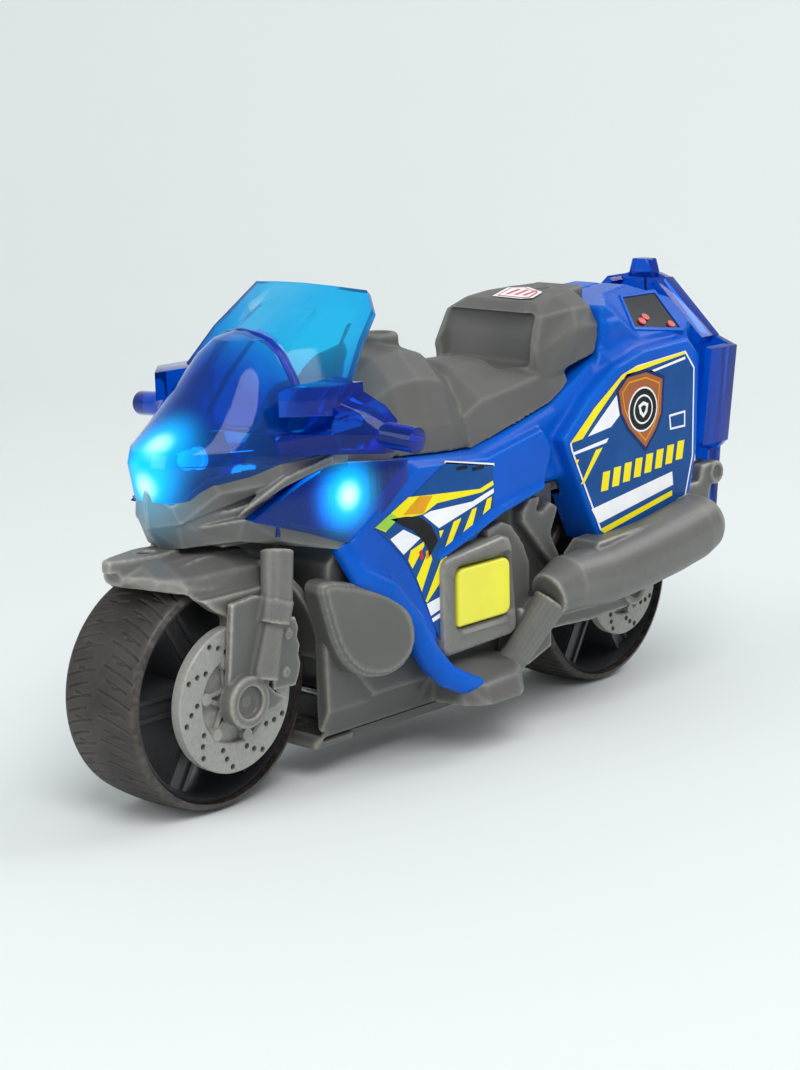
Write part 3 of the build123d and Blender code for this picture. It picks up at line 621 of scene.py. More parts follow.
def both_sides(half_ring):
    """A ring of points from its left half, front or top first."""
    return half_ring + [(x, -y, z) for x, y, z in reversed(half_ring)]


def ridge(stations):
    """A long shape from upright cross-sections: x, then (y, z) points from the middle down to the side."""
    return loft([both_sides([(x, y, z) for y, z in half_section]) for x, half_section in stations])


cheek = [(59.6, 37.0), (56.6, 34.6), (53.9, 33.2), (54.4, 29.0), (46.4, 31.4), (45.0, 35.0), (46.0, 37.0)]
guard_shapes = [
    side(arch_front, -6.5, 6.5),
    side(arch_rear, -10.0, 10.0),
    ridge([
        (44.0, [(0.1, 42.4), (6.0, 42.0), (9.8, 39.8), (10.8, 37.0), (10.8, 33.6)]),
        (50.0, [(0.1, 43.2), (5.8, 42.6), (9.8, 40.2), (10.9, 37.2), (10.9, 33.4)]),
        (56.0, [(0.1, 43.2), (5.2, 42.5), (9.6, 40.2), (10.7, 38.0), (10.6, 35.0)]),
        (60.6, [(0.1, 42.9), (4.4, 42.4), (8.6, 40.2), (9.6, 38.9), (9.5, 37.8)]),
        (64.0, [(0.1, 42.6), (3.0, 42.2), (5.9, 40.5), (6.5, 39.7), (6.3, 38.6)]),
        (67.4, [(0.1, 42.4), (1.6, 42.0), (2.2, 40.7), (1.9, 40.0), (0.8, 39.2)]),
    ]),
    loft([[(x, -half, low), (x, half, low), (x, half * 0.86, 43.6), (x, -half * 0.86, 43.6)] 
          for x, half, low in (
        (55.6, 3.0, 42.0), (58.8, 3.9, 42.0), (60.4, 4.0, 42.0), (66.2, 2.4, 41.4), (69.0, 1.0, 41.5))]),
]
for way in (-1, 1):
    guard_shapes.append(side(cheek, way * 9.4, way * 12.0))
hole = [plan(oval(60.6, 0.0, 1.5, 1.2, 16), 40, 47),
        lathe([(-9.2, 0.001), (-9.2, 19.8), (-7.4, 20.6), (7.4, 20.6), (9.2, 19.8), (9.2, 0.001)], FRONT_X,
              TYRE_R, 64)]
guard = melt("mudguard_moulding", guard_shapes, hole, grain=0.32, soften=3)
fit(guard, GREY, "motorcycle", "trim_grey", "front_mudguard")


# Engine halves. Two grey half shells screwed together: belly, crank case, inner rear fender and footboards.
# They stay hollow, so that the lamp board, the speaker and the battery box fit between them.
CORE_Y = 13.5
CORE = [(33.5, 5.6), (-9.0, 5.6), (-21.0, 12.0), (-25.2, 22.0), (-25.2, 43.0), (28.0, 43.0), (33.0, 38.0),
        (34.0, 24.0)]


def keel():
    """The slope that narrows the belly towards the ground, as shapes to cut away; it spares the footboard."""
    slope = [(9.6, 4.0), (9.6, 5.5), (14.0, 14.0), (30, 14.0), (30, 4.0)]
    low = [(9.6, 4.0), (9.6, 5.5), (11.7, 9.6), (30, 9.6), (30, 4.0)]
    return [cross(slope, -60, -7.2), cross(low, -7.3, 9.5), cross(slope, 9.4, 60)]


half_shapes = [
    side(CORE, 0.0, CORE_Y),
    side([(-66, 41.0), (-66, 43.0), (-25, 43.0), (-25, 41.0)], 0, 13.0),
    loft([[(-6.6, 12.5, 9.6), (-6.6, 22.4, 9.6), (-4.0, 24.2, 9.6), (5.0, 24.2, 9.6), (8.2, 21.0, 9.6),
           (9.4, 12.5, 9.6)],
          [(-8.0, 12.5, 15.8), (-8.0, 20.4, 14.2), (-5.0, 22.2, 13.0), (4.0, 22.4, 12.8), (8.2, 20.4, 14.0),
           (9.4, 12.5, 17.4)]]),
    side([(33.6, 26.0), (22.0, 12.0), (12.0, 9.0), (-2.0, 9.0), (-8.0, 15.0), (10.0, 19.0), (20.0, 24.0),
          (30.0, 33.0)],
         13.0, 14.4),
    side([(-7.9, 38.9), (-10.6, 37.8), (-13.7, 34.0), (-15.5, 30.0), (-15.4, 25.2), (-11.6, 21.0),
          (-6.0, 19.0),
          (-4.0, 38.0)], 13.0, 16.6),
    side([(-25.3, 27.3), (-21.6, 34.4), (-23.8, 38.9), (-21.7, 40.2), (-19.8, 39.0), (-17.5, 38.8),
          (-18.9, 41.8),
          (-15.7, 41.8), (-13.8, 39.4), (-13.8, 37.6), (-22.9, 27.4)], 13.0, 16.4),
    ring_boss(-15.6, 20.4, 3.4, 13.0, 17.2, 2.2, 16.4),
    ring_boss(-20.4, 20.6, 2.2, 13.0, 16.0, 1.2, 15.4),
]
half_cuts = [
    side([(31.8, 7.2), (-8.4, 7.2), (-19.6, 13.2), (-23.6, 22.4), (-23.6, 41.4), (27.3, 41.4), (31.4, 37.4),
          (32.3, 24.2)], -1, 10.0),
    block(-6.1, 24.1, -1, 9.4, 4.0, 8.0),
    round_bar(-1.6, 27.6, 2.5, 8.0, 20.0),
    lathe([(-1.0, 0.001), (-1.0, 23.4), (10.6, 23.4), (10.6, 0.001)], FRONT_X, TYRE_R, 48),
] + keel()
# A darker copy of the grey plastic for the engine halves: painted shade for the belly, which lies in shadow.
SHADED_ENGINE_GREY = moulded("engine_plastic", tint(90, 90, 88), tint(164, 160, 150), 0.42, 0.7)
half = melt("engine_half_left", half_shapes, half_cuts, grain=0.42, soften=3, most=70000)
fit_pair(half, SHADED_ENGINE_GREY, "motorcycle", "trim_grey", "chassis_left")


# Rear arms. A grey arm each side carries the rear axle, clipped to the engine half in front.
arm_shapes = [
    side([(-20.6, 16.4), (-34.0, 15.6), (-44.0, 15.8), (-49.0, 16.4), (-50.4, 20.0), (-47.0, 23.6),
          (-34.0, 24.2),
          (-20.6, 24.8)], 13.9, 15.3),
    side([(-24.0, 18.4), (-42.0, 18.0), (-42.0, 20.6), (-24.0, 22.0)], 15.0, 16.0),
    ring_boss(REAR_X, TYRE_R, 3.5, 13.9, 16.2, 1.9, 15.6),
]
arm = melt("rear_arm_left", arm_shapes, grain=0.28, soften=3)
fit_pair(arm, GREY, "motorcycle", "trim_grey", "swingarm_left")


# Air guides. A grey plastic paddle each side behind the front wheel, gently domed, with a rounded edge. Each is
# clipped to the engine half.
def inset(points, distance):
    """An outline moved inwards by this distance at every side."""
    count = len(points)
    area = sum(points[i][0] * points[(i + 1) % count][1] - points[(i + 1) % count][0] * points[i][1]
               for i in range(count))
    way = 1 if area > 0 else -1
    moved = []
    for i in range(count):
        here = Vector(points[i])
        back = (here - Vector(points[i - 1])).normalized()
        ahead = (Vector(points[(i + 1) % count]) - here).normalized()
        normal = Vector((-back.y - ahead.y, back.x + ahead.x)) * way
        size = max(1.0 + back.dot(ahead), 0.5)
        moved.append(tuple(here + normal * (distance / size)))
    return moved


def pillow(points, y_inner, y_outer, round_off):
    """An (x, z) outline made solid, with its outer edge rounded off in steps."""
    rings = [[(x, y_inner, z) for x, z in points]]
    for share in (0.0, 0.35, 0.65, 0.88, 1.0):
        drop = round_off * (1 - math.sqrt(max(1 - share ** 2, 0.0)))
        rings.append([(x, y_outer - round_off + share * round_off, z) for x, z in inset(points, drop)])
    return loft(rings)


def slanted(points, y_inner, y_outer):
    """An (x, z) outline whose outer face follows a rule y_outer(x, z)."""
    return loft([[(x, y_inner, z) for x, z in points], [(x, y_outer(x, z), z) for x, z in points]])


paddle = [(37.0, 36.6), (35.6, 31.0), (33.8, 24.0), (30.8, 19.8), (27.0, 18.2), (23.0, 18.4), (20.0, 20.6),
          (18.8, 24.0),
          (19.6, 28.6), (22.4, 32.0), (28.0, 34.6)]


def curved(points, times=2):
    """An outline with its corners cut again and again, so that it runs smoothly."""
    for _ in range(times):
        cut = []
        for (x0, z0), (x1, z1) in zip(points, points[1:] + points[:1]):
            cut += [(0.75 * x0 + 0.25 * x1, 0.75 * z0 + 0.25 * z1),
                    (0.25 * x0 + 0.75 * x1, 0.25 * z0 + 0.75 * z1)]
        points = cut
    return points


guide_shapes = []
for drop, out in ((0.0, 0.0), (0.3, 0.5), (0.9, 0.85)):
    guide_shapes.append(slanted(inset(curved(paddle), drop), 11.2,
                                lambda x, z, out=out: 19.8 - 0.30 * (x - 19) + out))
guide = melt("air_guide_paddle_left", guide_shapes, grain=0.24, soften=9)
fit_pair(guide, GREY, "motorcycle", "trim_grey", "air_guide_left")


# Exhaust. A grey plastic silencer that grows towards the rear, with a bent pipe from the engine. Both are moulded
# and clipped to the engine half and the rear arm.
pipe_path = [(-15.4, 20.6, 24.8), (-20.0, 21.0, 26.2), (-30.0, 21.0, 26.0), (-40.0, 21.0, 27.0),
             (-50.0, 21.0, 28.4),
             (-57.0, 21.0, 29.6), (-60.6, 21.0, 30.4), (-62.4, 21.0, 30.8)]
silencer_shapes = [
    tube(pipe_path, [4.0, 5.0, 5.6, 5.9, 6.1, 6.1, 5.6, 4.6], 40),
    side([(-28.0, 24.0), (-25.0, 30.0), (-28.0, 32.4), (-46.0, 33.4), (-46.0, 30.0)], 16.0, 22.6),
    side([(-55.0, 33.0), (-56.4, 41.1), (-58.3, 41.1), (-59.0, 37.6), (-63.6, 37.6), (-64.6, 40.6),
          (-68.0, 40.8),
          (-66.6, 33.0)], 16.6, 19.0),
    ring_boss(-68.6, 38.6, 2.3, 14.6, 19.4, 1.2, 18.8),
]
silencer = melt("silencer_moulding", silencer_shapes, grain=0.34, soften=4)
fit(silencer, GREY, "motorcycle", "trim_grey", "exhaust_silencer")

pipe_shapes = [
    tube([(-7.8, 16.2, 12.0), (-10.0, 17.6, 14.6), (-13.0, 19.0, 19.0), (-16.4, 20.4, 23.6)],
         [2.6, 2.7, 2.9, 3.2], 20),
    side([(-13.4, 11.8), (-8.4, 12.6), (-11.6, 22.6), (-20.0, 21.6), (-20.0, 14.0)], 13.6, 17.6),
]
pipe = melt("header_pipe_moulding", pipe_shapes, grain=0.28, soften=3)
fit(pipe, GREY, "motorcycle", "trim_grey", "header_pipe")


# Button frame and button. A grey square frame glued to the engine half, and a bright yellow plastic cap that
# slides in it.
def crisp(name, shapes, cuts=(), bevel=0.25, corner=30.0):
    """Shapes united and cut exactly, with a narrow rounded bevel on every sharp edge."""
    piece = piece_of(name, shapes[:1])
    for shape in shapes[1:]:
        carve(piece, [shape], "UNION")
    if cuts:
        carve(piece, cuts)
    built = bmesh.new()
    built.from_mesh(piece.data)
    bmesh.ops.remove_doubles(built, verts=built.verts, dist=0.01 * MM)
    bmesh.ops.dissolve_limit(built, angle_limit=math.radians(1.0), verts=built.verts, edges=built.edges)
    bmesh.ops.recalc_face_normals(built, faces=built.faces)
    built.to_mesh(piece.data)
    built.free()
    if bevel:
        settle(piece, "BEVEL", width=bevel * MM, segments=3, limit_method="ANGLE",
               angle_limit=math.radians(20),
               harden_normals=False)
    settle(piece, "TRIANGULATE")
    mark_edges(piece, corner)
    return piece


def rounded(x_low, x_high, z_low, z_high, radii, steps=6):
    """A rectangle with its own radius at each corner, from low-low round to low-high."""
    corners = [(x_low, z_low, 1, 1, 180), (x_high, z_low, -1, 1, 270), (x_high, z_high, -1, -1, 0),
               (x_low, z_high, 1, -1, 90)]
    points = []
    for (x, z, way_x, way_z, start), r in zip(corners, radii):
        points += [(x + way_x * r + r * math.cos(math.radians(start + 90 * k / steps)),
                    z + way_z * r + r * math.sin(math.radians(start + 90 * k / steps))) for k in range(steps + 1)]
    return points


BUTTON_X = -1.6
BUTTON_Z = 27.6
HALF_LENGTH = 7.0
HALF_HEIGHT = 5.1
CAP_GAP = 0.3
frame_outline = [(9.6, 33.4), (9.2, 34.6), (8.2, 35.3), (-6.4, 36.9), (-8.4, 36.2), (-9.2, 34.6),
                 (-10.2, 20.6),
                 (-9.8, 19.2), (-8.6, 18.5), (7.6, 17.9), (9.0, 18.3), (9.6, 19.6)]
opening = rounded(BUTTON_X - HALF_LENGTH - CAP_GAP, BUTTON_X + HALF_LENGTH + CAP_GAP,
                  BUTTON_Z - HALF_HEIGHT - CAP_GAP, BUTTON_Z + HALF_HEIGHT + CAP_GAP, (1.7, 1.7, 1.7, 1.7))
slope_ring = loft([[(x, y, z) for x, z in inset(opening, -grow)] for y, grow in ((16.9, 0.0), (18.2, 1.2))])
bezel = crisp("button_frame", [pillow(frame_outline, 13.6, 18.0, 1.1)],
              [side(opening, 16.2, 19.0), slope_ring, side(inset(opening, -1.3), 13.0, 16.3)], 0.12)
fit(bezel, GREY, "motorcycle", "trim_grey", "button_bezel")

YELLOW = moulded("yellow_plastic", tint(255, 250, 66), tint(255, 250, 150), 0.34, 0.3, 0.15)
cap_outline = rounded(BUTTON_X - HALF_LENGTH, BUTTON_X + HALF_LENGTH, BUTTON_Z - HALF_HEIGHT,
                      BUTTON_Z + HALF_HEIGHT,
                      (1.6, 0.5, 1.6, 1.6))
button = melt("button_cap", [pillow(cap_outline, 15.6, 17.7, 0.5)], grain=0.18, soften=3)
fit(button, YELLOW, "sound_button_body", "button_yellow", "sound_button")


# Body halves. Two glossy blue shells screwed together: fairing side, seat rail, pannier and tail.
# The fairing's front edge is a thick rounded bar that runs down and out to the foot.
BLUE = moulded("blue_plastic", tint(0, 90, 204), tint(16, 134, 236), 0.30, 0.40, 0.0, 0.04, 0.16)
BODY = [(29.6, 43.4), (26.6, 46.6), (16.6, 53.6), (-4.0, 52.0), (-24.7, 57.4), (-38.0, 64.8), (-39.2, 73.4),
        (-57.0, 75.2), (-66.4, 72.0), (-66.4, 43.4)]
FAIRING = [(30.6, 42.0), (28.6, 36.0), (22.0, 32.4), (16.6, 25.6), (12.4, 17.0), (9.6, 15.6), (9.9, 20.0),
           (9.9, 35.0),
           (7.9, 35.8), (-6.7, 41.2), (-19.2, 43.4), (-22.0, 50.0), (-19.0, 54.0), (-4.0, 51.0), (14.0, 52.2),
           (24.0, 47.4)]
PANNIER = [(-22.4, 51.6), (-27.6, 41.0), (-32.6, 31.2), (-36.0, 29.6), (-60.2, 34.6), (-62.6, 44.0),
           (-63.6, 62.0),
           (-60.0, 65.6), (-46.0, 65.0), (-38.0, 63.0), (-30.0, 58.2)]
FAIRING_Y = 17.0
PANNIER_Y = 19.1
SLOPE_TOP_Y = 5.8
SLOPE_TOP_Z = 75.5
SLOPE_FALL = 0.884
window = [(-49.4, 14.0), (-52.8, 8.4), (-62.9, 8.5), (-61.6, 15.6)]


def on_slope(points, lift):
    """Plan points (x, y) laid on the sloping side of the tail roof, raised by lift."""
    return [(x, y + 0.66 * lift, SLOPE_TOP_Z - SLOPE_FALL * (y - SLOPE_TOP_Y) + 0.75 * lift)
            for x, y in points]


shell_shapes = [
    side(BODY, 0.0, 14.6),
    pillow(BODY[:4] + [(-4.0, 47.0), (-4.0, 43.4)], 10.0, 16.2, 1.4),
    pillow([(-2.0, 43.4), (-2.0, 51.8), (-24.7, 57.0), (-38.0, 64.4), (-39.0, 71.0), (-57.0, 72.6),
            (-64.6, 69.0),
            (-66.0, 43.4)], 10.0, 15.6, 1.6),
    pillow(FAIRING, 13.6, FAIRING_Y, 0.6),
    pillow(PANNIER, 10.8, PANNIER_Y, 0.9),
    tube([(31.2, 14.4, 41.6), (28.6, 16.4, 36.0), (23.2, 17.4, 32.8), (18.0, 18.0, 26.6),
          (14.2, 18.6, 19.6),
          (11.0, 19.4, 15.6), (7.4, 20.2, 13.6), (3.4, 20.6, 12.2)], [1.7, 2.0, 2.2, 2.2, 2.2, 2.2, 2.0,
                                                                      1.5], 16),
    tube([(14.4, 16.4, 21.0), (12.0, 17.2, 17.0), (8.6, 18.2, 14.8), (4.0, 18.8, 12.8)],
         [1.8, 1.9, 1.7, 1.2], 16),
    tube([(9.6, 16.8, 35.6), (2.0, 16.9, 38.2), (-6.7, 16.9, 41.2), (-19.0, 16.8, 43.7)],
         [0.8, 0.9, 0.9, 0.8], 12),
    loft([[(-34.0, 14.0, 59.0), (-63.0, 14.0, 59.0), (-63.4, 18.9, 60.6), (-40.0, 18.9, 60.6),
           (-34.0, 16.0, 59.0)],
          [(-40.0, 12.0, 68.4), (-64.0, 12.0, 66.2), (-64.0, 15.8, 65.2), (-44.0, 15.8, 66.8),
           (-37.0, 15.2, 65.4)]]),
]
shell_cuts = [
    side([(27.0, 44.6), (16.0, 51.8), (-4.3, 50.2), (-25.6, 55.9), (-37.0, 60.0), (-64.8, 60.0),
          (-64.8, 40.0),
          (27.0, 40.0)], -1.0, 13.0),
    side([(-37.0, 59.0), (-39.6, 63.9), (-40.8, 72.0), (-57.0, 73.4), (-64.8, 70.8), (-64.8, 59.0)], -1.0,
         4.5),
    side([(-26.4, 50.4), (-34.4, 33.8), (-58.8, 36.6), (-61.0, 44.4), (-61.6, 63.0), (-50.0, 63.6),
          (-32.6, 58.2)],
         9.0, 17.3),
    tube(pipe_path, [4.2, 5.2, 5.8, 6.1, 6.3, 6.3, 5.8, 4.8], 32),
    loft([[(x, 17.0, 65.6), (x, 5.8, 75.5), (x, 5.8, 82.0), (x, 30.0, 82.0),
           (x, 30.0, 65.6)] for x in (-48.4, -68.0)]),
    loft([[(-40.6, 17.0, 71.0), (-40.6, 10.5, 76.2), (-40.6, 10.5, 82.0), (-40.6, 30.0, 82.0),
           (-40.6, 30.0, 71.0)],
          [(-48.6, 17.0, 65.6), (-48.6, 5.8, 75.5), (-48.6, 5.8, 82.0), (-48.6, 30.0, 82.0),
           (-48.6, 30.0, 65.6)]]),
    block(32.0, 42.0, -1, 16.8, 46.0, 51.0),
]
shell = melt("body_half_left", shell_shapes, shell_cuts, grain=0.36, soften=6, most=90000)
fit_pair(shell, BLUE, "motorcycle", "body_blue", "body_shell_left")


# Seat and tank cover. One matt grey moulding with a round filler cap, a groove across the tank, a hollowed
# rider's seat with a backrest, and a raised seat behind.
FILLER_X = 5.3


def stack(x, steps, rings):
    """An upright round shape on the middle line, from (radius, z) pairs."""
    return loft([[(a, b, z) for a, b in oval(x, 0.0, r, r, steps)] for r, z in rings])


cover_shapes = [
    ridge([
        (27.0, [(0.1, 61.0), (6.0, 60.4), (10.0, 58.0), (12.6, 55.0), (12.6, 50.0)]),
        (20.0, [(0.1, 67.0), (6.5, 66.2), (10.8, 62.6), (13.4, 57.0), (13.8, 50.0)]),
        (14.0, [(0.1, 70.4), (7.0, 69.6), (11.6, 65.4), (13.9, 58.0), (14.2, 50.0)]),
        (8.0, [(0.1, 71.2), (7.2, 70.2), (12.0, 65.8), (14.0, 58.0), (14.2, 50.0)]),
        (2.0, [(0.1, 70.2), (6.8, 69.2), (11.4, 64.8), (13.4, 57.6), (13.8, 50.0)]),
        (-2.5, [(0.1, 67.4), (6.0, 66.4), (10.2, 61.8), (12.2, 56.0), (13.0, 50.0)]),
        (-5.0, [(0.1, 65.4), (5.4, 64.4), (9.0, 59.6), (11.0, 54.6), (12.6, 50.0)]),
        (-7.0, [(0.1, 64.8), (5.4, 63.8), (9.4, 58.8), (11.6, 54.2), (12.8, 50.0)]),
    ]),
    ridge([
        (-3.4, [(0.1, 63.5), (3.0, 62.6), (7.0, 60.5), (12.0, 57.8), (13.4, 52.0)]),
        (-8.0, [(0.1, 66.4), (4.5, 65.6), (9.0, 62.2), (12.0, 60.0), (13.8, 52.5)]),
        (-13.0, [(0.1, 66.2), (5.0, 65.6), (9.6, 62.8), (12.2, 60.6), (14.2, 53.5)]),
        (-18.0, [(0.1, 65.9), (5.0, 65.5), (10.0, 63.2), (12.4, 61.4), (14.4, 54.5)]),
        (-23.0, [(0.1, 65.8), (5.0, 65.5), (10.0, 64.0), (12.6, 62.4), (14.6, 55.5)]),
        (-30.0, [(0.1, 65.8), (5.0, 65.6), (10.0, 64.6), (12.8, 63.6), (14.6, 58.5)]),
    ]),
    loft([both_sides(half_ring) for half_ring in (
        [(-20.6, 9.0, 62.6), (-24.0, 12.8, 61.6), (-29.7, 13.6, 63.0), (-37.6, 14.2, 65.0)],
        [(-22.2, 9.2, 69.2), (-22.9, 12.3, 66.6), (-32.0, 14.2, 70.4), (-39.0, 13.9, 70.0)],
        [(-24.0, 8.6, 73.4), (-25.6, 11.4, 72.8), (-33.0, 12.6, 73.6), (-39.6, 11.6, 73.4)],
        [(-27.2, 7.0, 75.2), (-27.8, 8.4, 75.0), (-34.0, 8.0, 75.7), (-40.2, 7.0, 75.9)])]),
    loft([[(-38.0, y, z) for y, z in ((-7, 72.0), (7, 72.0), (7, 75.9), (-7, 75.9))],
          [(-45.0, y, z) for y, z in ((-5.4, 73.0), (5.4, 73.0), (5.4, 76.2), (-5.4, 76.2))]]),
    stack(FILLER_X, 28, ((3.6, 69.0), (3.6, 72.2), (3.1, 72.7))),
]
back_hollow = loft([[(-17.0, -12.6, z), (-17.0, 12.6, z), (front, 11.4, z), (rear, 9.6, z),
                     (rear - 0.5, 0.0, z),
                     (rear, -9.6, z), (front, -11.4, z)] for z, front, rear in
                    ((64.0, -21.6, -24.4), (69.0, -22.0, -25.0), (73.2, -23.6, -26.0))])
groove = tube([(18.6, 6.4, 68.6), (18.0, 8.6, 67.0), (17.4, 11.2, 64.6), (16.6, 12.9, 60.6),
               (16.2, 14.2, 55.0)],
              [0.45, 0.5, 0.5, 0.5, 0.45], 8)
filler = stack(FILLER_X, 28, ((2.3, 72.1), (2.6, 73.5)))
screw_well = stack(-39.4, 24, ((1.5, 74.6), (1.7, 77.0)))
inner_space = side([(25.0, 48.0), (25.0, 58.0), (14.0, 66.0), (2.8, 66.4), (-5.0, 60.6), (-13.8, 61.4),
                    (-25.4, 61.6),
                    (-29.0, 70.0), (-36.6, 72.0), (-38.4, 66.0), (-38.4, 48.0)], -7.4, 7.4)
body_space = side([(30, 45), (26.6, 46.6), (16.6, 53.8), (-4.0, 52.2), (-24.7, 57.6), (-38.2, 65.0),
                   (-39.3, 73.6),
                   (-60, 73.6), (-60, 45)], -16, 16)
cover = melt("seat_and_tank", cover_shapes, [back_hollow, groove, mirrored(groove), filler, screw_well,
                                              inner_space, body_space], grain=0.34, soften=4, most=90000)
SEAT_GREY = moulded("seat_plastic", tint(98, 97, 94), tint(150, 147, 138), 0.55, 0.55)
fit(cover, SEAT_GREY, "motorcycle", "trim_grey", "seat_tank_cover")


# Nose trim. The grey plastic beak under the headlamp: a closed snout, a long blade each side over the lamps, and
# a sill under them, all one moulding that clips between the body halves and the clear cover.
def turned(way, points):
    """Points kept on the left, or turned over to the right when way is -1."""
    return [(x, way * y, z) for x, y, z in points]


trim_parts = [
    ([(60.2, -0.3, 53.8), (58.4, 4.2, 51.2), (54.0, 8.4, 55.8), (43.6, 13.8, 57.2), (33.0, 16.2, 58.0),
      (29.0, 15.4, 57.6), (30.0, 12.0, 54.0), (44.0, 9.0, 52.0), (54.0, 3.0, 50.4)],
     [(60.0, -0.3, 47.2), (57.6, 5.4, 48.2), (52.8, 9.8, 53.0), (43.2, 14.8, 54.0), (34.0, 16.6, 55.8),
      (29.6, 15.6, 54.6), (30.0, 12.0, 52.0), (44.0, 9.0, 49.0), (53.0, 3.0, 47.2)]),
    ([(60.0, -0.3, 47.4), (57.8, 4.8, 48.4), (50.0, 10.0, 50.0), (43.0, 12.6, 51.6), (42.0, 8.0, 50.0),
      (53.0, -0.3, 47.2)],
     [(57.4, -0.3, 43.4), (56.2, 4.2, 43.8), (51.0, 9.0, 45.0), (45.4, 12.0, 46.8), (42.0, 8.0, 46.6),
      (52.0, -0.3, 44.0)]),
    ([(55.8, 5.6, 47.2), (50.6, 12.6, 48.8), (43.0, 14.6, 47.6), (30.4, 16.2, 43.6), (30.4, 14.0, 43.6),
      (43.0, 11.6, 47.6), (50.0, 8.0, 48.2)],
     [(56.2, 3.8, 43.8), (50.0, 10.6, 44.8), (43.0, 13.8, 44.0), (30.8, 15.8, 40.6), (30.8, 13.6, 40.6),
      (43.0, 10.6, 43.8), (50.0, 6.0, 43.8)]),
    ([(52.0, 12.8, 49.6), (43.4, 15.4, 54.8), (34.2, 17.0, 57.2), (34.2, 14.6, 57.2), (43.4, 12.4, 54.8)],
     [(52.2, 12.0, 48.6), (43.4, 14.8, 53.0), (34.0, 16.6, 55.8), (34.0, 14.2, 55.8), (43.4, 11.8, 53.0)]),
]
trim_shapes = []
for way in (-1, 1):
    trim_shapes += [loft([turned(way, ring) for ring in rings]) for rings in trim_parts]
    trim_shapes.append(side([(51.0, 43.6), (42.0, 43.2), (31.4, 41.0), (31.4, 44.0), (42.0, 45.6),
                             (51.0, 45.4)], way * 0.05, way * 8.0))
trim = melt("nose_trim_moulding", trim_shapes, grain=0.26, soften=2, most=80000)
GLOW = tint(0, 172, 218)
HOT = tint(190, 244, 255)
TRIM = Finish("nose_trim_plastic", {"IOR": 1.5, "Emission Strength": 0.55})
trim_patches = TRIM.noise(14.0, 3.0)
trim_fine = TRIM.noise(0.8, 3.0)
trim_edge = TRIM.attribute("edge")
trim_base = TRIM.blend(trim_patches.from_to(0.3, 0.7), tint(88, 89, 88), tint(104, 104, 102))
TRIM.give("Base Color", TRIM.blend(trim_edge * (0.4 + trim_fine) * 0.7, trim_base, tint(176, 174, 166)))
TRIM.give("Roughness", 0.40 + 0.1 * (trim_fine - 0.5))
TRIM.bump(TRIM.noise(0.25) + 0.6 * trim_fine, 0.16, 0.03)
# Painted light: teal emission on the grey trim near the nose lamp and the side lamp stands in for their light
# falling on it.
painted_nose_glow = (1.0 - TRIM.distance((60.0, 0.0, 54.0)).from_to(0.5, 15.0)) ** 2.0
painted_side_glow = (1.0 - TRIM.distance((31.0, 17.5, 49.8)).from_to(3.0, 11.0)) ** 2.0
TRIM.give("Emission Color", TRIM.blend(painted_nose_glow + 0.35 * painted_side_glow, (0, 0, 0, 1), GLOW))
fit(trim, TRIM.material, "motorcycle", "trim_grey", "nose_trim")


# Clear blue mouldings. Screen with headlamp cover, hand guards with grips and the hoop behind the cover, and side
# lamps: tinted, polished, with the light of the lamps in them. A black block in the back end of each side lamp is
# painted shade.
def clear_blue(name, deep, bright, lamps, strength, clear=0.85, pale=None):
    """See-through blue plastic, lit from inside near each (point, reach) lamp; pale is (point, full, none)."""
    finish = Finish(name, {"IOR": 1.36, "Transmission Weight": clear, "Specular IOR Level": 0.24,
                           "Emission Strength": strength})
    haze = finish.noise(11.0, 3.0)
    edge = finish.attribute("edge")
    base = finish.blend(haze.from_to(0.3, 0.7), deep, bright)
    if pale:
        point, full, none = pale
        base = finish.blend(1.0 - finish.distance(point).from_to(full, none), base, tint(40, 206, 255))
    finish.give("Base Color", finish.blend(edge * 0.5, base, tint(10, 110, 240)))
    finish.give("Roughness", 0.04 + 0.06 * finish.noise(1.6, 3.0) * haze)
    finish.bump(finish.noise(2.5, 2.0), 0.08, 0.03)
    spread = 0.0
    core = 0.0
    for point, reach in lamps:
        near = 1.0 - finish.distance(point).from_to(reach * 0.1, reach)
        spread = spread + near ** 1.9
        core = core + (1.0 - finish.distance(point).from_to(reach * 0.04, reach * 0.36)) ** 1.5
    finish.give("Emission Color", finish.blend(core, finish.blend(spread, (0.0, 0.0, 0.004, 1), GLOW), HOT))
    return finish


def sheet(lines, back):
    """A sheet through equal rows of points, given thickness by the vector back."""
    rings = []
    for line in lines:
        behind = [tuple(Vector(p) + Vector(back)) for p in reversed(line)]
        rings.append(list(line) + behind)
    return loft(rings)


def across(half_line):
    """A row of points from the right side to the left, from its left half, middle first."""
    right = [(x, -y, z) for x, y, z in reversed(half_line) if y > 0.01]
    return right + list(half_line)


screen_lines = [across(line) for line in (
    [(22.8, 0.0, 82.9), (22.8, 6.2, 82.8), (21.7, 11.5, 82.4), (21.4, 13.0, 82.3)],
    [(28.2, 0.0, 79.3), (27.4, 6.6, 79.2), (24.0, 12.0, 79.0), (23.0, 15.5, 79.4)],
    [(34.4, 0.0, 76.2), (32.8, 6.9, 75.8), (27.4, 12.7, 75.0), (27.9, 17.1, 75.1)],
    [(41.6, 0.0, 69.8), (39.6, 7.4, 69.2), (32.8, 13.8, 68.8), (33.0, 18.9, 69.0)],
    [(47.6, 0.0, 62.6), (45.4, 8.0, 62.2), (40.2, 14.6, 61.8), (36.6, 17.6, 62.4)],
)]
dome_foot = [(60.4, 0.0), (60.2, 2.2), (59.6, 4.4), (57.0, 7.2), (53.5, 10.0), (48.5, 12.4), (43.6, 14.2),
             (38.0, 15.4),
             (33.2, 16.2)]
dome_lines = []
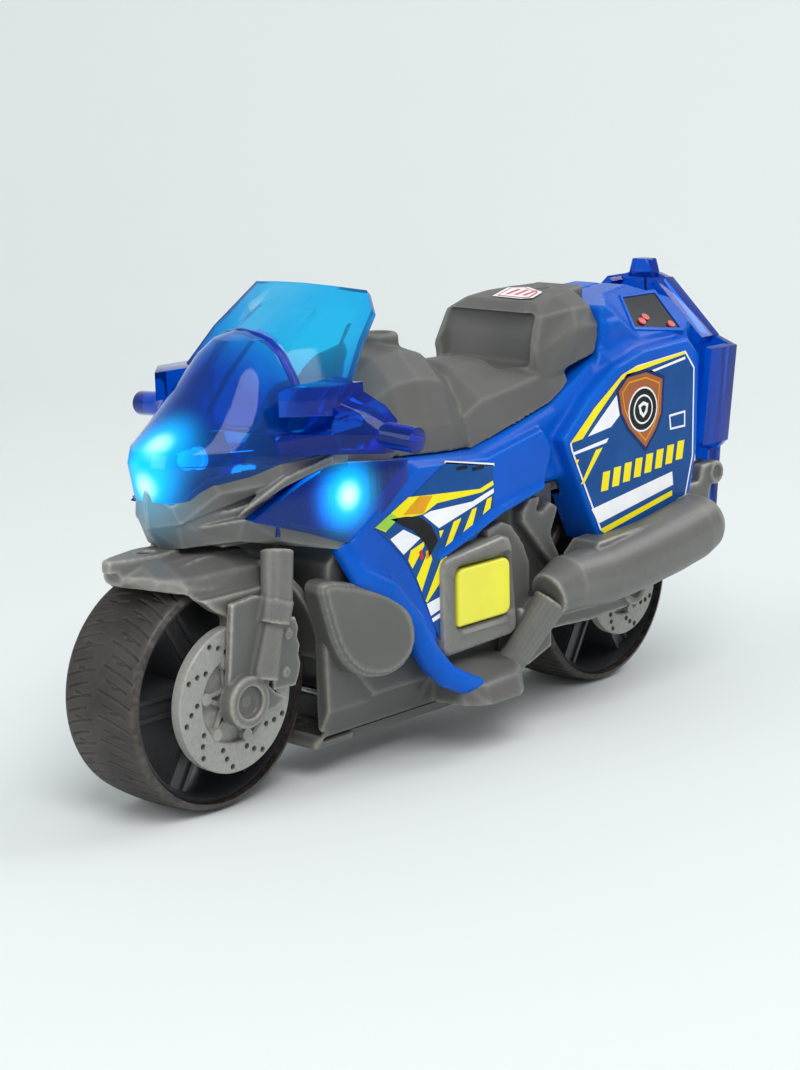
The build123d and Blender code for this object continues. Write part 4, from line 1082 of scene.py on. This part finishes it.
for height, front, half, spread in ((76.6, 38.6, 1.8, 0.0), (75.4, 42.2, 5.2, 0.0), (73.0, 44.8, 7.9, 0.0),
                                    (70.0, 47.2, 10.0, 0.0), (66.0, 49.8, 12.0, 0.12), (63.0, 51.6, 13.2, 0.32),
                                    (61.0, 52.2, 13.6, 0.62), (59.4, 52.6, 14.0, 0.92), (57.4, 52.6, 14.0, 1.0),
                                    (54.4, 52.6, 14.0, 1.0), (51.6, 52.6, 14.0, 1.0)):
    shrink = 1.0 - 0.022 * max(57.4 - height, 0.0)
    arc = []
    for step, (foot_x, foot_y) in enumerate(dome_foot):
        turn = math.radians(90 * step / 8)
        round_x = 36.5 + (front - 36.5) * math.cos(turn)
        arc.append((round_x + (foot_x - round_x) * spread - 6.0 * (1.0 - shrink),
                    (half * math.sin(turn) * (1 - spread) + foot_y * spread) * shrink, height))
    dome_lines.append(across(arc))
screen = crisp("screen_and_lamp_cover", [sheet(screen_lines, (-1.0, 0.0, -1.0)),
                                         sheet(dome_lines, (-1.5, 0.0, 0.0))],
               (), 0.22)
lamps = [((57.2, 1.0, 60.0), 11.0), ((60.0, 0.0, 54.0), 10.0)]
SCREEN = clear_blue("clear_screen", tint(0, 96, 206), tint(0, 128, 222), lamps, 1.2, 0.85,
                    ((24.0, 3.0, 80.0), 12.0, 26.0))
fit(screen, SCREEN.material, "motorcycle", "clear_blue", "windscreen")

arch_half = [(37.6, 0.0, 76.2), (37.0, 3.4, 75.6), (36.6, 5.4, 74.8), (36.4, 8.0, 72.8), (36.4, 10.1, 69.8),
             (36.4, 12.1, 65.8)]
arch_rim = piece_of("dome_rim", [tube(across(arch_half), [0.8] * 11, 12)])
mark_edges(arch_rim)

bar_shapes = [
    loft([[(44.0, 14.6, z), (38.0, 20.6, z), (31.0, 20.8, z), (31.0, 14.4, z)] for z in (64.4, 69.1)]),
    loft([[(38.0, 20.2, 61.2), (31.0, 20.2, 60.6), (31.0, 20.2, 67.8), (36.4, 20.2, 66.4)],
          [(35.6, 24.4, 61.6), (31.0, 25.2, 60.8), (30.2, 25.0, 65.4), (33.6, 24.6, 64.4)],
          [(33.6, 27.2, 61.4), (31.0, 27.6, 60.6), (30.4, 27.6, 63.4), (32.4, 27.4, 62.8)]]),
    tube([(32.2, 20.0, 61.6), (31.3, 32.6, 60.7)], [2.15, 2.15], 24),
    loft([[(44.0, 13.6, z), (38.4, 20.4, z), (33.0, 27.0, z), (30.6, 27.0, z),
           (28.6, 14.0, z)] for z in (58.2, 61.4)]),
]
bars = crisp("bar_left", bar_shapes, (), 0.28)
others = right_of(bars, "bar_right")
join(bars, others)
bars.name = "hand_guards_and_grips"
BARS = clear_blue("clear_bars", tint(0, 56, 180), tint(0, 84, 206), [((46.0, 8.0, 58.0), 9.0)], 0.3, 0.85)
fit(bars, BARS.material, "motorcycle", "clear_blue", "handlebar")
fit(arch_rim, BARS.material, "motorcycle", "clear_blue")

lens_outline = [(50.7, 48.6), (42.6, 52.2), (33.9, 55.6), (17.0, 54.0), (16.8, 50.6), (22.0, 46.4),
                (30.2, 41.6),
                (40.0, 45.2)]


def lens_face(x, z):
    return 17.3 - 0.085 * max(x - 20.0, 0.0)


lens = crisp("side_lamp_lens_left", [slanted(lens_outline, 14.2, lens_face)],
             [slanted(lens_outline, 12.0, lambda x, z: lens_face(x, z) - 1.4)], 0.2)
LENS = clear_blue("clear_side_lens", tint(0, 70, 180), tint(0, 96, 204), [((30.5, 17.0, 49.8), 10.0)], 1.6,
                  0.85)
ribs = [slanted(inset(lens_outline, 0.3), 13.6, lambda x, z: lens_face(x, z) - 2.6)]
for place in range(11):
    x = 20.0 + 2.4 * place
    ribs.append(block(x, x + 0.7, 14.0, lens_face(x, 0) - 1.9, 45.4 - 0.1 * max(x - 40, 0),
                      min(53.6, 59.4 - 0.24 * x)))
backing = crisp("side_lamp_reflector_left", ribs, (), 0.0)
join(lens, backing)
# A black block in the back end of each side lamp: painted shade for the dark end of the lens.
shade_block = piece_of("side_lamp_pocket_left", [block(17.4, 19.2, 14.4, 15.7, 47.6, 53.2)] +
                  [block(x, x + 0.4, 14.4, 15.6, 46.8, 53.0) for x in (20.4, 21.8, 23.2, 24.6)])
mark_edges(shade_block)
fit_pair(shade_block, BLACK_PLASTIC, "motorcycle", "part_black")
fit_pair(lens, LENS.material, "motorcycle", "clear_blue", "side_lens_left")


# Tail. A clear blue light panel with a stepped edge, held by lugs between the body halves, and on each slope in
# front of it a dark window in a narrow blue frame, with small red reflectors.
panel_outline = [(0, 41.9), (13.3, 41.9), (13.3, 31.0), (16.4, 31.0), (17.3, 42.9), (18.9, 44.4),
                 (20.9, 63.0),
                 (16.7, 64.6), (5.8, 75.0), (3.0, 75.9), (0, 75.9)]
panel_shapes = [
    cross(panel_outline, -72.5, -71.0),
    cross([(17.6, 44.2), (19.0, 44.4), (21.0, 63.0), (19.6, 63.4)], -72.5, -64.2),
    cross([(15.6, 63.2), (16.8, 64.7), (5.8, 75.2), (4.6, 74.2)], -72.5, -66.8),
    cross([(14.0, 43.0), (17.0, 43.0), (16.4, 32.0), (14.2, 32.0)], -71.2, -68.6),
]
panel_half = crisp("tail_panel_left", panel_shapes, (), 0.2)
panel_other = right_of(panel_half, "tail_panel_right")
join(panel_half, panel_other)
join(panel_half, crisp("knob", [cross([(-3.0, 75.0), (3.0, 75.0), (1.9, 78.6), (-1.9, 78.6)], -72.5,
                                      -69.6)], (), 0.25))
panel_half.name = "tail_light_cover"
TAIL = clear_blue("clear_tail", tint(0, 60, 190), tint(4, 88, 216), [((-71.0, 0.0, 56.0), 6.0)], 0.05, 0.8)
fit(panel_half, TAIL.material, "motorcycle", "clear_blue", "tail_light_panel")

PANE = moulded("dark_window", tint(12, 14, 22), tint(40, 44, 60), 0.22, 0.2, 0.0, 0.02, 0.2)
pane = crisp("tail_window_pane_left", [loft([on_slope(window, lift) for lift in (-1.6, 0.06)])], (), 0.0)
fit_pair(pane, PANE, "motorcycle", "window_dark", "tail_window_left")

frame_edge = crisp("tail_window_frame_left",
                   [loft([on_slope(inset(window, -0.6), -1.4), on_slope(inset(window, -0.45), 0.3)])],
                   [loft([on_slope(inset(window, 0.1), lift) for lift in (-3.0, 2.0)])], 0.08)
fit_pair(frame_edge, BLUE, "motorcycle", "body_blue")

RED = moulded("red_plastic", tint(196, 30, 34), tint(240, 90, 80), 0.25, 0.3, 0.3)
red_spots = []
for way in (-1, 1):
    for x, y in ((-52.6, 13.2), (-54.4, 12.6), (-59.8, 14.6)):
        spot = oval(x, y, 0.9, 0.6, 12)
        red_spots.append(loft([turned(way, on_slope(spot, lift)) for lift in (-0.3, 0.2, 0.4)]))
pads = piece_of("red_reflectors", red_spots)
mark_edges(pads)
fit(pads, RED, "motorcycle", "reflector_red", "tail_reflectors")


# Stickers. Printed vinyl on the fairings, the panniers and the raised seat, in deep blue, yellow, amber, white and
# a few small colours, with a copper shield. Each lies flat, a tenth of a millimetre proud of the plastic.
def vinyl(name, colour, roughness=0.24):
    finish = Finish(name, {"IOR": 1.5, "Specular IOR Level": 0.14})
    patches = finish.noise(7.0, 3.0)
    faded = tuple(min(c * 1.12 + 0.006, 1.0) for c in colour[:3]) + (1.0,)
    finish.give("Base Color", finish.blend(patches.from_to(0.35, 0.7), colour, faded))
    finish.give("Roughness", roughness + 0.12 * (patches - 0.5))
    finish.bump(finish.noise(1.4, 2.0), 0.05, 0.02)
    return finish.material


INK = {
    "blue": vinyl("vinyl_blue", tint(6, 74, 142)),
    "yellow": vinyl("vinyl_yellow", tint(255, 232, 22)),
    "amber": vinyl("vinyl_amber", tint(226, 158, 18)),
    "lime": vinyl("vinyl_lime", tint(160, 214, 74)),
    "white": vinyl("vinyl_white", tint(244, 246, 250)),
    "navy": vinyl("vinyl_navy", tint(8, 40, 96)),
    "copper": vinyl("vinyl_copper", tint(168, 96, 56)),
    "black": vinyl("vinyl_black", tint(22, 22, 24)),
    "red": vinyl("vinyl_red", tint(206, 44, 40)),
}


def sticker(name, layers, lay, outward):
    """Flat outlines, each in its own vinyl; lay puts a drawn point and its place in the stack on the body."""
    mesh = bpy.data.meshes.new(name)
    whole = bmesh.new()
    inks = sorted({ink for ink, lift, outline in layers})
    for ink, lift, outline in layers:
        face = whole.faces.new([whole.verts.new(Vector(lay(a, b, 0.10 + 0.03 * lift)) * MM)
                                for a, b in outline])
        face.material_index = inks.index(ink)
        face.normal_update()
        if face.normal.dot(outward) < 0:
            face.normal_flip()
    bmesh.ops.triangulate(whole, faces=whole.faces)
    whole.to_mesh(mesh)
    whole.free()
    for ink in inks:
        mesh.materials.append(INK[ink])
    piece = bpy.data.objects.new(name, mesh)
    scene.collection.objects.link(piece)
    return piece


def bar(x_low, x_high, z_low, z_high, lean=0.0):
    """A slanting printed block."""
    return [(x_low, z_low), (x_high, z_low), (x_high - lean, z_high), (x_low - lean, z_high)]


fairing_layers = [
    ("white", 0, [(7.6, 52.2), (-5.3, 49.8), (-5.3, 49.3), (7.6, 51.7)]),
    ("blue", 0, [(7.2, 51.9), (-5.1, 49.5), (-5.1, 40.8), (0.1, 37.4), (6.0, 36.6), (8.5, 36.2),
                 (9.6, 34.0),
                 (9.3, 20.6), (12.0, 25.9), (13.4, 28.8), (15.5, 33.0), (17.9, 36.8), (21.8, 40.6), (25.2, 43.4),
                 (15.1, 47.8)]),
    ("yellow", 1, [(25.2, 43.6), (16.9, 47.4), (11.3, 46.9), (-1.3, 45.9), (-4.8, 46.8), (-5.0, 46.0),
                   (-1.9, 45.2),
                   (9.7, 45.2), (13.3, 43.9), (20.5, 44.0), (22.6, 42.4)]),
    ("amber", 2, [(18.3, 44.6), (14.3, 47.1), (10.9, 46.7), (13.3, 44.0)]),
    ("lime", 2, [(25.1, 43.6), (21.2, 45.4), (19.4, 44.2), (22.4, 42.6)]),
    ("white", 1, [(13.3, 43.7), (11.4, 44.1), (0.7, 44.0), (-5.0, 45.4), (-5.0, 44.6), (0.3, 43.1),
                  (9.4, 40.8)]),
    ("white", 1, [(21.6, 41.0), (18.3, 42.1), (14.1, 39.9), (18.4, 37.8)]),
    ("yellow", 1, [(17.3, 36.6), (16.6, 38.2), (13.1, 39.2), (13.3, 38.3), (16.3, 35.0)]),
    ("yellow", 1, [(15.3, 33.2), (12.0, 37.8), (11.3, 35.7), (14.1, 30.6)]),
    ("yellow", 1, [(9.4, 40.3), (8.2, 40.3), (9.1, 39.0)]),
    ("yellow", 1, [(13.2, 28.8), (8.9, 35.5), (5.6, 41.3), (3.6, 41.6), (7.0, 36.6), (9.7, 31.0),
                   (12.8, 28.4)]),
    ("yellow", 1, [(3.7, 37.6), (3.3, 38.9), (0.8, 42.6), (-0.5, 42.8), (1.3, 38.5)]),
    ("yellow", 1, [(-2.0, 41.2), (-3.2, 43.8), (-4.5, 44.0), (-4.0, 42.0)]),
    ("white", 1, [(12.9, 28.2), (9.6, 28.8), (9.4, 26.6), (11.9, 25.9)]),
    ("white", 1, [(11.7, 25.4), (9.4, 26.0), (9.4, 25.2), (11.4, 24.7)]),
    ("black", 2, [(21.4, 44.4), (17.6, 44.2), (14.2, 43.6), (11.3, 41.5), (9.7, 38.7), (12.1, 36.2),
                  (12.4, 38.0),
                  (13.5, 39.2), (15.9, 41.5), (18.6, 42.8)]),
    ("black", 2, bar(1.9, 4.7, 50.0, 50.6, 0.0)),
    ("black", 2, bar(-2.5, 0.6, 49.3, 49.9, 0.0)),
    ("red", 2, [(14.6, 37.6), (13.9, 37.9), (13.5, 36.4), (14.2, 36.0)]),
    ("amber", 2, [(13.0, 37.4), (12.2, 37.6), (12.0, 36.2), (12.8, 36.0)]),
]
PANNIER_SHEET = [(-58.4, 63.6), (-43.3, 62.6), (-38.7, 61.4), (-30.6, 56.4), (-23.4, 50.8), (-24.0, 49.0),
                 (-32.0, 33.4),
                 (-35.4, 31.0), (-54.1, 34.2), (-58.6, 35.4), (-61.0, 43.1), (-61.4, 60.0)]
shield = [(-37.8, 58.3), (-40.5, 60.5), (-46.1, 60.8), (-51.0, 59.0), (-50.5, 52.6), (-48.9, 49.9),
          (-45.8, 46.9),
          (-40.9, 51.1), (-38.7, 54.2)]
pannier_layers = [
    ("white", 0, inset(PANNIER_SHEET, 0.2)),
    ("blue", 1, inset(PANNIER_SHEET, 0.6)),
    ("yellow", 2, [(-58.2, 63.2), (-43.3, 62.2), (-38.7, 61.1), (-30.6, 56.2), (-23.8, 50.8), (-27.2, 51.1),
                   (-31.4, 54.7),
                   (-38.7, 60.3), (-43.3, 61.3), (-58.2, 62.8)]),
    ("white", 2, [(-58.2, 62.3), (-47.9, 61.0), (-46.5, 60.8), (-48.4, 60.6), (-58.2, 61.8)]),
    ("white", 2, [(-37.3, 57.8), (-38.2, 54.0), (-35.5, 52.1), (-28.7, 51.3)]),
    ("white", 2, [(-24.2, 49.0), (-34.8, 50.2), (-34.1, 49.4), (-24.6, 48.5)]),
    ("navy", 2, inset(shield, -0.7)),
    ("copper", 3, shield),
    ("amber", 4, inset(shield, 0.8)),
    ("copper", 5, inset(shield, 1.1)),
    ("white", 6, oval(-44.9, 54.1, 4.4, 4.2)),
    ("black", 7, oval(-44.9, 54.1, 4.05, 3.85)),
    ("white", 8, oval(-44.9, 54.1, 2.9, 2.75)),
    ("black", 9, oval(-44.9, 54.1, 2.55, 2.4)),
    ("white", 10, [(-46.4, 55.0), (-44.9, 55.6), (-43.4, 55.0), (-43.8, 53.4), (-44.9, 52.5),
                   (-46.0, 53.4)]),
    ("black", 11, [(-45.7, 54.6), (-44.9, 54.9), (-44.1, 54.6), (-44.4, 53.8), (-44.9, 53.3),
                   (-45.4, 53.8)]),
    ("white", 2, [(-53.1, 51.9), (-58.2, 52.1), (-58.2, 49.0), (-53.4, 49.0)]),
    ("blue", 3, [(-53.5, 51.5), (-57.8, 51.7), (-57.8, 49.4), (-53.8, 49.4)]),
    ("yellow", 2, [(-26.6, 42.9), (-31.0, 48.5), (-33.0, 48.7), (-27.5, 42.9)]),
    ("yellow", 2, [(-25.0, 47.6), (-26.2, 47.5), (-25.4, 46.6)]),
    ("white", 2, [(-29.6, 37.8), (-54.1, 41.0), (-54.4, 38.4), (-31.7, 34.8)]),
    ("yellow", 2, [(-32.4, 33.7), (-54.1, 37.4), (-54.1, 36.4), (-33.3, 32.7)]),
]
for place in range(8):
    x = -32.4 - 3.25 * place
    z = 40.6 + 0.34 * place
    pannier_layers.append(("yellow", 2, bar(x - 2.1, x, z, z + 3.5, 0.7)))


def on_fairing(x, z, lift):
    return x, FAIRING_Y + lift, z


def on_pannier(x, z, lift):
    return x, PANNIER_Y + lift, z


def on_seat(x, y, lift):
    return x, y, 75.2 + 0.065 * (-27.7 - x) + lift


for wing, layers, lay in (("fairing", fairing_layers, on_fairing), ("pannier", pannier_layers, on_pannier)):
    print_left = sticker(wing + "_sticker_left", layers, lay, Vector((0, 1, 0)))
    fit_pair(print_left, None, "motorcycle", "body_blue")

label = [(-28.4, -2.6), (-36.6, -5.8), (-38.4, -2.2), (-35.0, 3.9), (-29.4, 6.2), (-27.9, 4.6)]
label_layers = [("white", 0, label), ("red", 1, inset(label, 0.7)), ("white", 2, inset(label, 1.1))]
for low in (-2.6, -0.6, 1.4):
    label_layers.append(("red", 3, [(-35.6, low), (-30.6, low + 1.2), (-30.6, low + 2.1),
                                    (-35.6, low + 0.9)]))
label_print = sticker("seat_label", label_layers, on_seat, Vector((0, 0, 1)))
fit(label_print, None, "motorcycle", "trim_grey")


# Lamps, axles, screws, electrics and battery door. Bought-in and hidden parts keep their CAD shapes and take
# finishes of their own: turned steel, brass, green board, black and grey plastic and glowing lamps.
def metal(name, colour, roughness):
    finish = Finish(name, {"Metallic": 1.0})
    brushed = finish.noise(0.6, 4.0)
    finish.give("Base Color", finish.blend(brushed, tuple(c * 0.8 for c in colour[:3]) + (1.0,), colour))
    finish.give("Roughness", roughness + 0.14 * (brushed - 0.5))
    finish.bump(brushed, 0.1, 0.01)
    return finish.material


STEEL = metal("turned_steel", tint(190, 190, 192), 0.28)
BRASS = metal("contact_brass", tint(208, 172, 100), 0.3)
BOARD = moulded("board_green", tint(24, 96, 58), tint(80, 150, 100), 0.35, 0.2)
LAMP = Finish("lamp_glow", {"Emission Strength": 2.5, "Roughness": 0.2})
LAMP.give("Emission Color", LAMP.blend(LAMP.noise(1.0), (0.62, 0.95, 1.0, 1), (0.9, 1.0, 1.0, 1)))
carried = (
    (STEEL, "steel", ("front_axle", "rear_axle", "chassis_screws", "body_screws", "battery_door_screw",
                      "button_cells")),
    (BRASS, "contact_brass", ("battery_contacts",)),
    (BOARD, "board_green", ("circuit_board",)),
    (BLACK_PLASTIC, "part_black", ("tact_switch", "speaker")),
    (GREY, "trim_grey", ("battery_box", "battery_door")),
    (LAMP.material, "lamp_white", ("led_nose", "led_left", "led_right")),
)
for material, slot, names in carried:
    for name in names:
        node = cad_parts[name]
        node.data.materials.clear()
        node.data.materials.append(material)


# Setting. A plain pale floor that curves up into a backdrop, three large soft lamps and an even sky.
sweep = [(y, 0.0) for y in (-700, -300, 100, 300, 420)]
sweep += [(420 + 380 * math.sin(math.radians(a)), 380 - 380 * math.cos(math.radians(a)))
          for a in range(10, 91, 10)]
sweep += [(800, 900), (800, 1600)]
away = Vector((-0.7317, -0.6816))
side_way = Vector((0.6816, -0.7317))
rows = []
for reach, height in sweep:
    middle = away * reach
    rows.append([(middle.x + side_way.x * w, middle.y + side_way.y * w, height) for w in (-1800, 1800)])
floor_points = [p for row in rows for p in row]
floor_faces = [(2 * i, 2 * i + 1, 2 * i + 3, 2 * i + 2) for i in range(len(rows) - 1)]
floor = piece_of("floor", [(floor_points, floor_faces)])
floor.data.polygons.foreach_set("use_smooth", [True] * len(floor.data.polygons))
PAPER = Finish("backdrop_paper", {"Specular IOR Level": 0.1})
cloud = PAPER.noise(220.0, 2.0)
PAPER.give("Base Color", PAPER.blend(cloud, tint(232, 236, 235), tint(236, 240, 239)))
PAPER.give("Roughness", 0.9 + 0.05 * cloud)
floor.data.materials.append(PAPER.material)

for name, spot, target, size, power in (
        ("key", (420, 560, 900), (0, 0, 40), 700, 6.2),
        ("fill", (900, -250, 420), (0, 0, 40), 600, 2.4),
        ("rim", (-700, 300, 700), (0, 0, 50), 500, 2.6)):
    data = bpy.data.lights.new(name, "AREA")
    data.shape = "DISK"
    data.size = size * MM
    data.energy = power
    lamp = bpy.data.objects.new(name, data)
    lamp.location = Vector(spot) * MM
    lamp.rotation_euler = (Vector(target) - Vector(spot)).to_track_quat("-Z", "Y").to_euler()
    scene.collection.objects.link(lamp)

world = bpy.data.worlds.new("sky")
world.use_nodes = True
world.node_tree.nodes["Background"].inputs["Color"].default_value = (0.93, 0.97, 1.0, 1)
world.node_tree.nodes["Background"].inputs["Strength"].default_value = 0.47
scene.world = world
scene.view_settings.view_transform = "Standard"

LENS_MM = 81.87
SENSOR_MM = 36
CAMERA_SPOT = Vector((310.2, 287.88, 127.81)) * MM
camera_data = bpy.data.cameras.new("camera")
camera_data.lens = LENS_MM
camera_data.sensor_width = SENSOR_MM
camera_data.clip_end = 20
camera = bpy.data.objects.new("camera", camera_data)
right = Vector((-0.67735, 0.73533, -0.02285))
upward = Vector((-0.17154, -0.12766, 0.97690))
backward = Vector((0.7154, 0.6656, 0.2126))
camera.matrix_world = Matrix([(right[i], upward[i], backward[i], CAMERA_SPOT[i]) for i in range(3)]
                             + [(0, 0, 0, 1)])
scene.collection.objects.link(camera)
scene.camera = camera
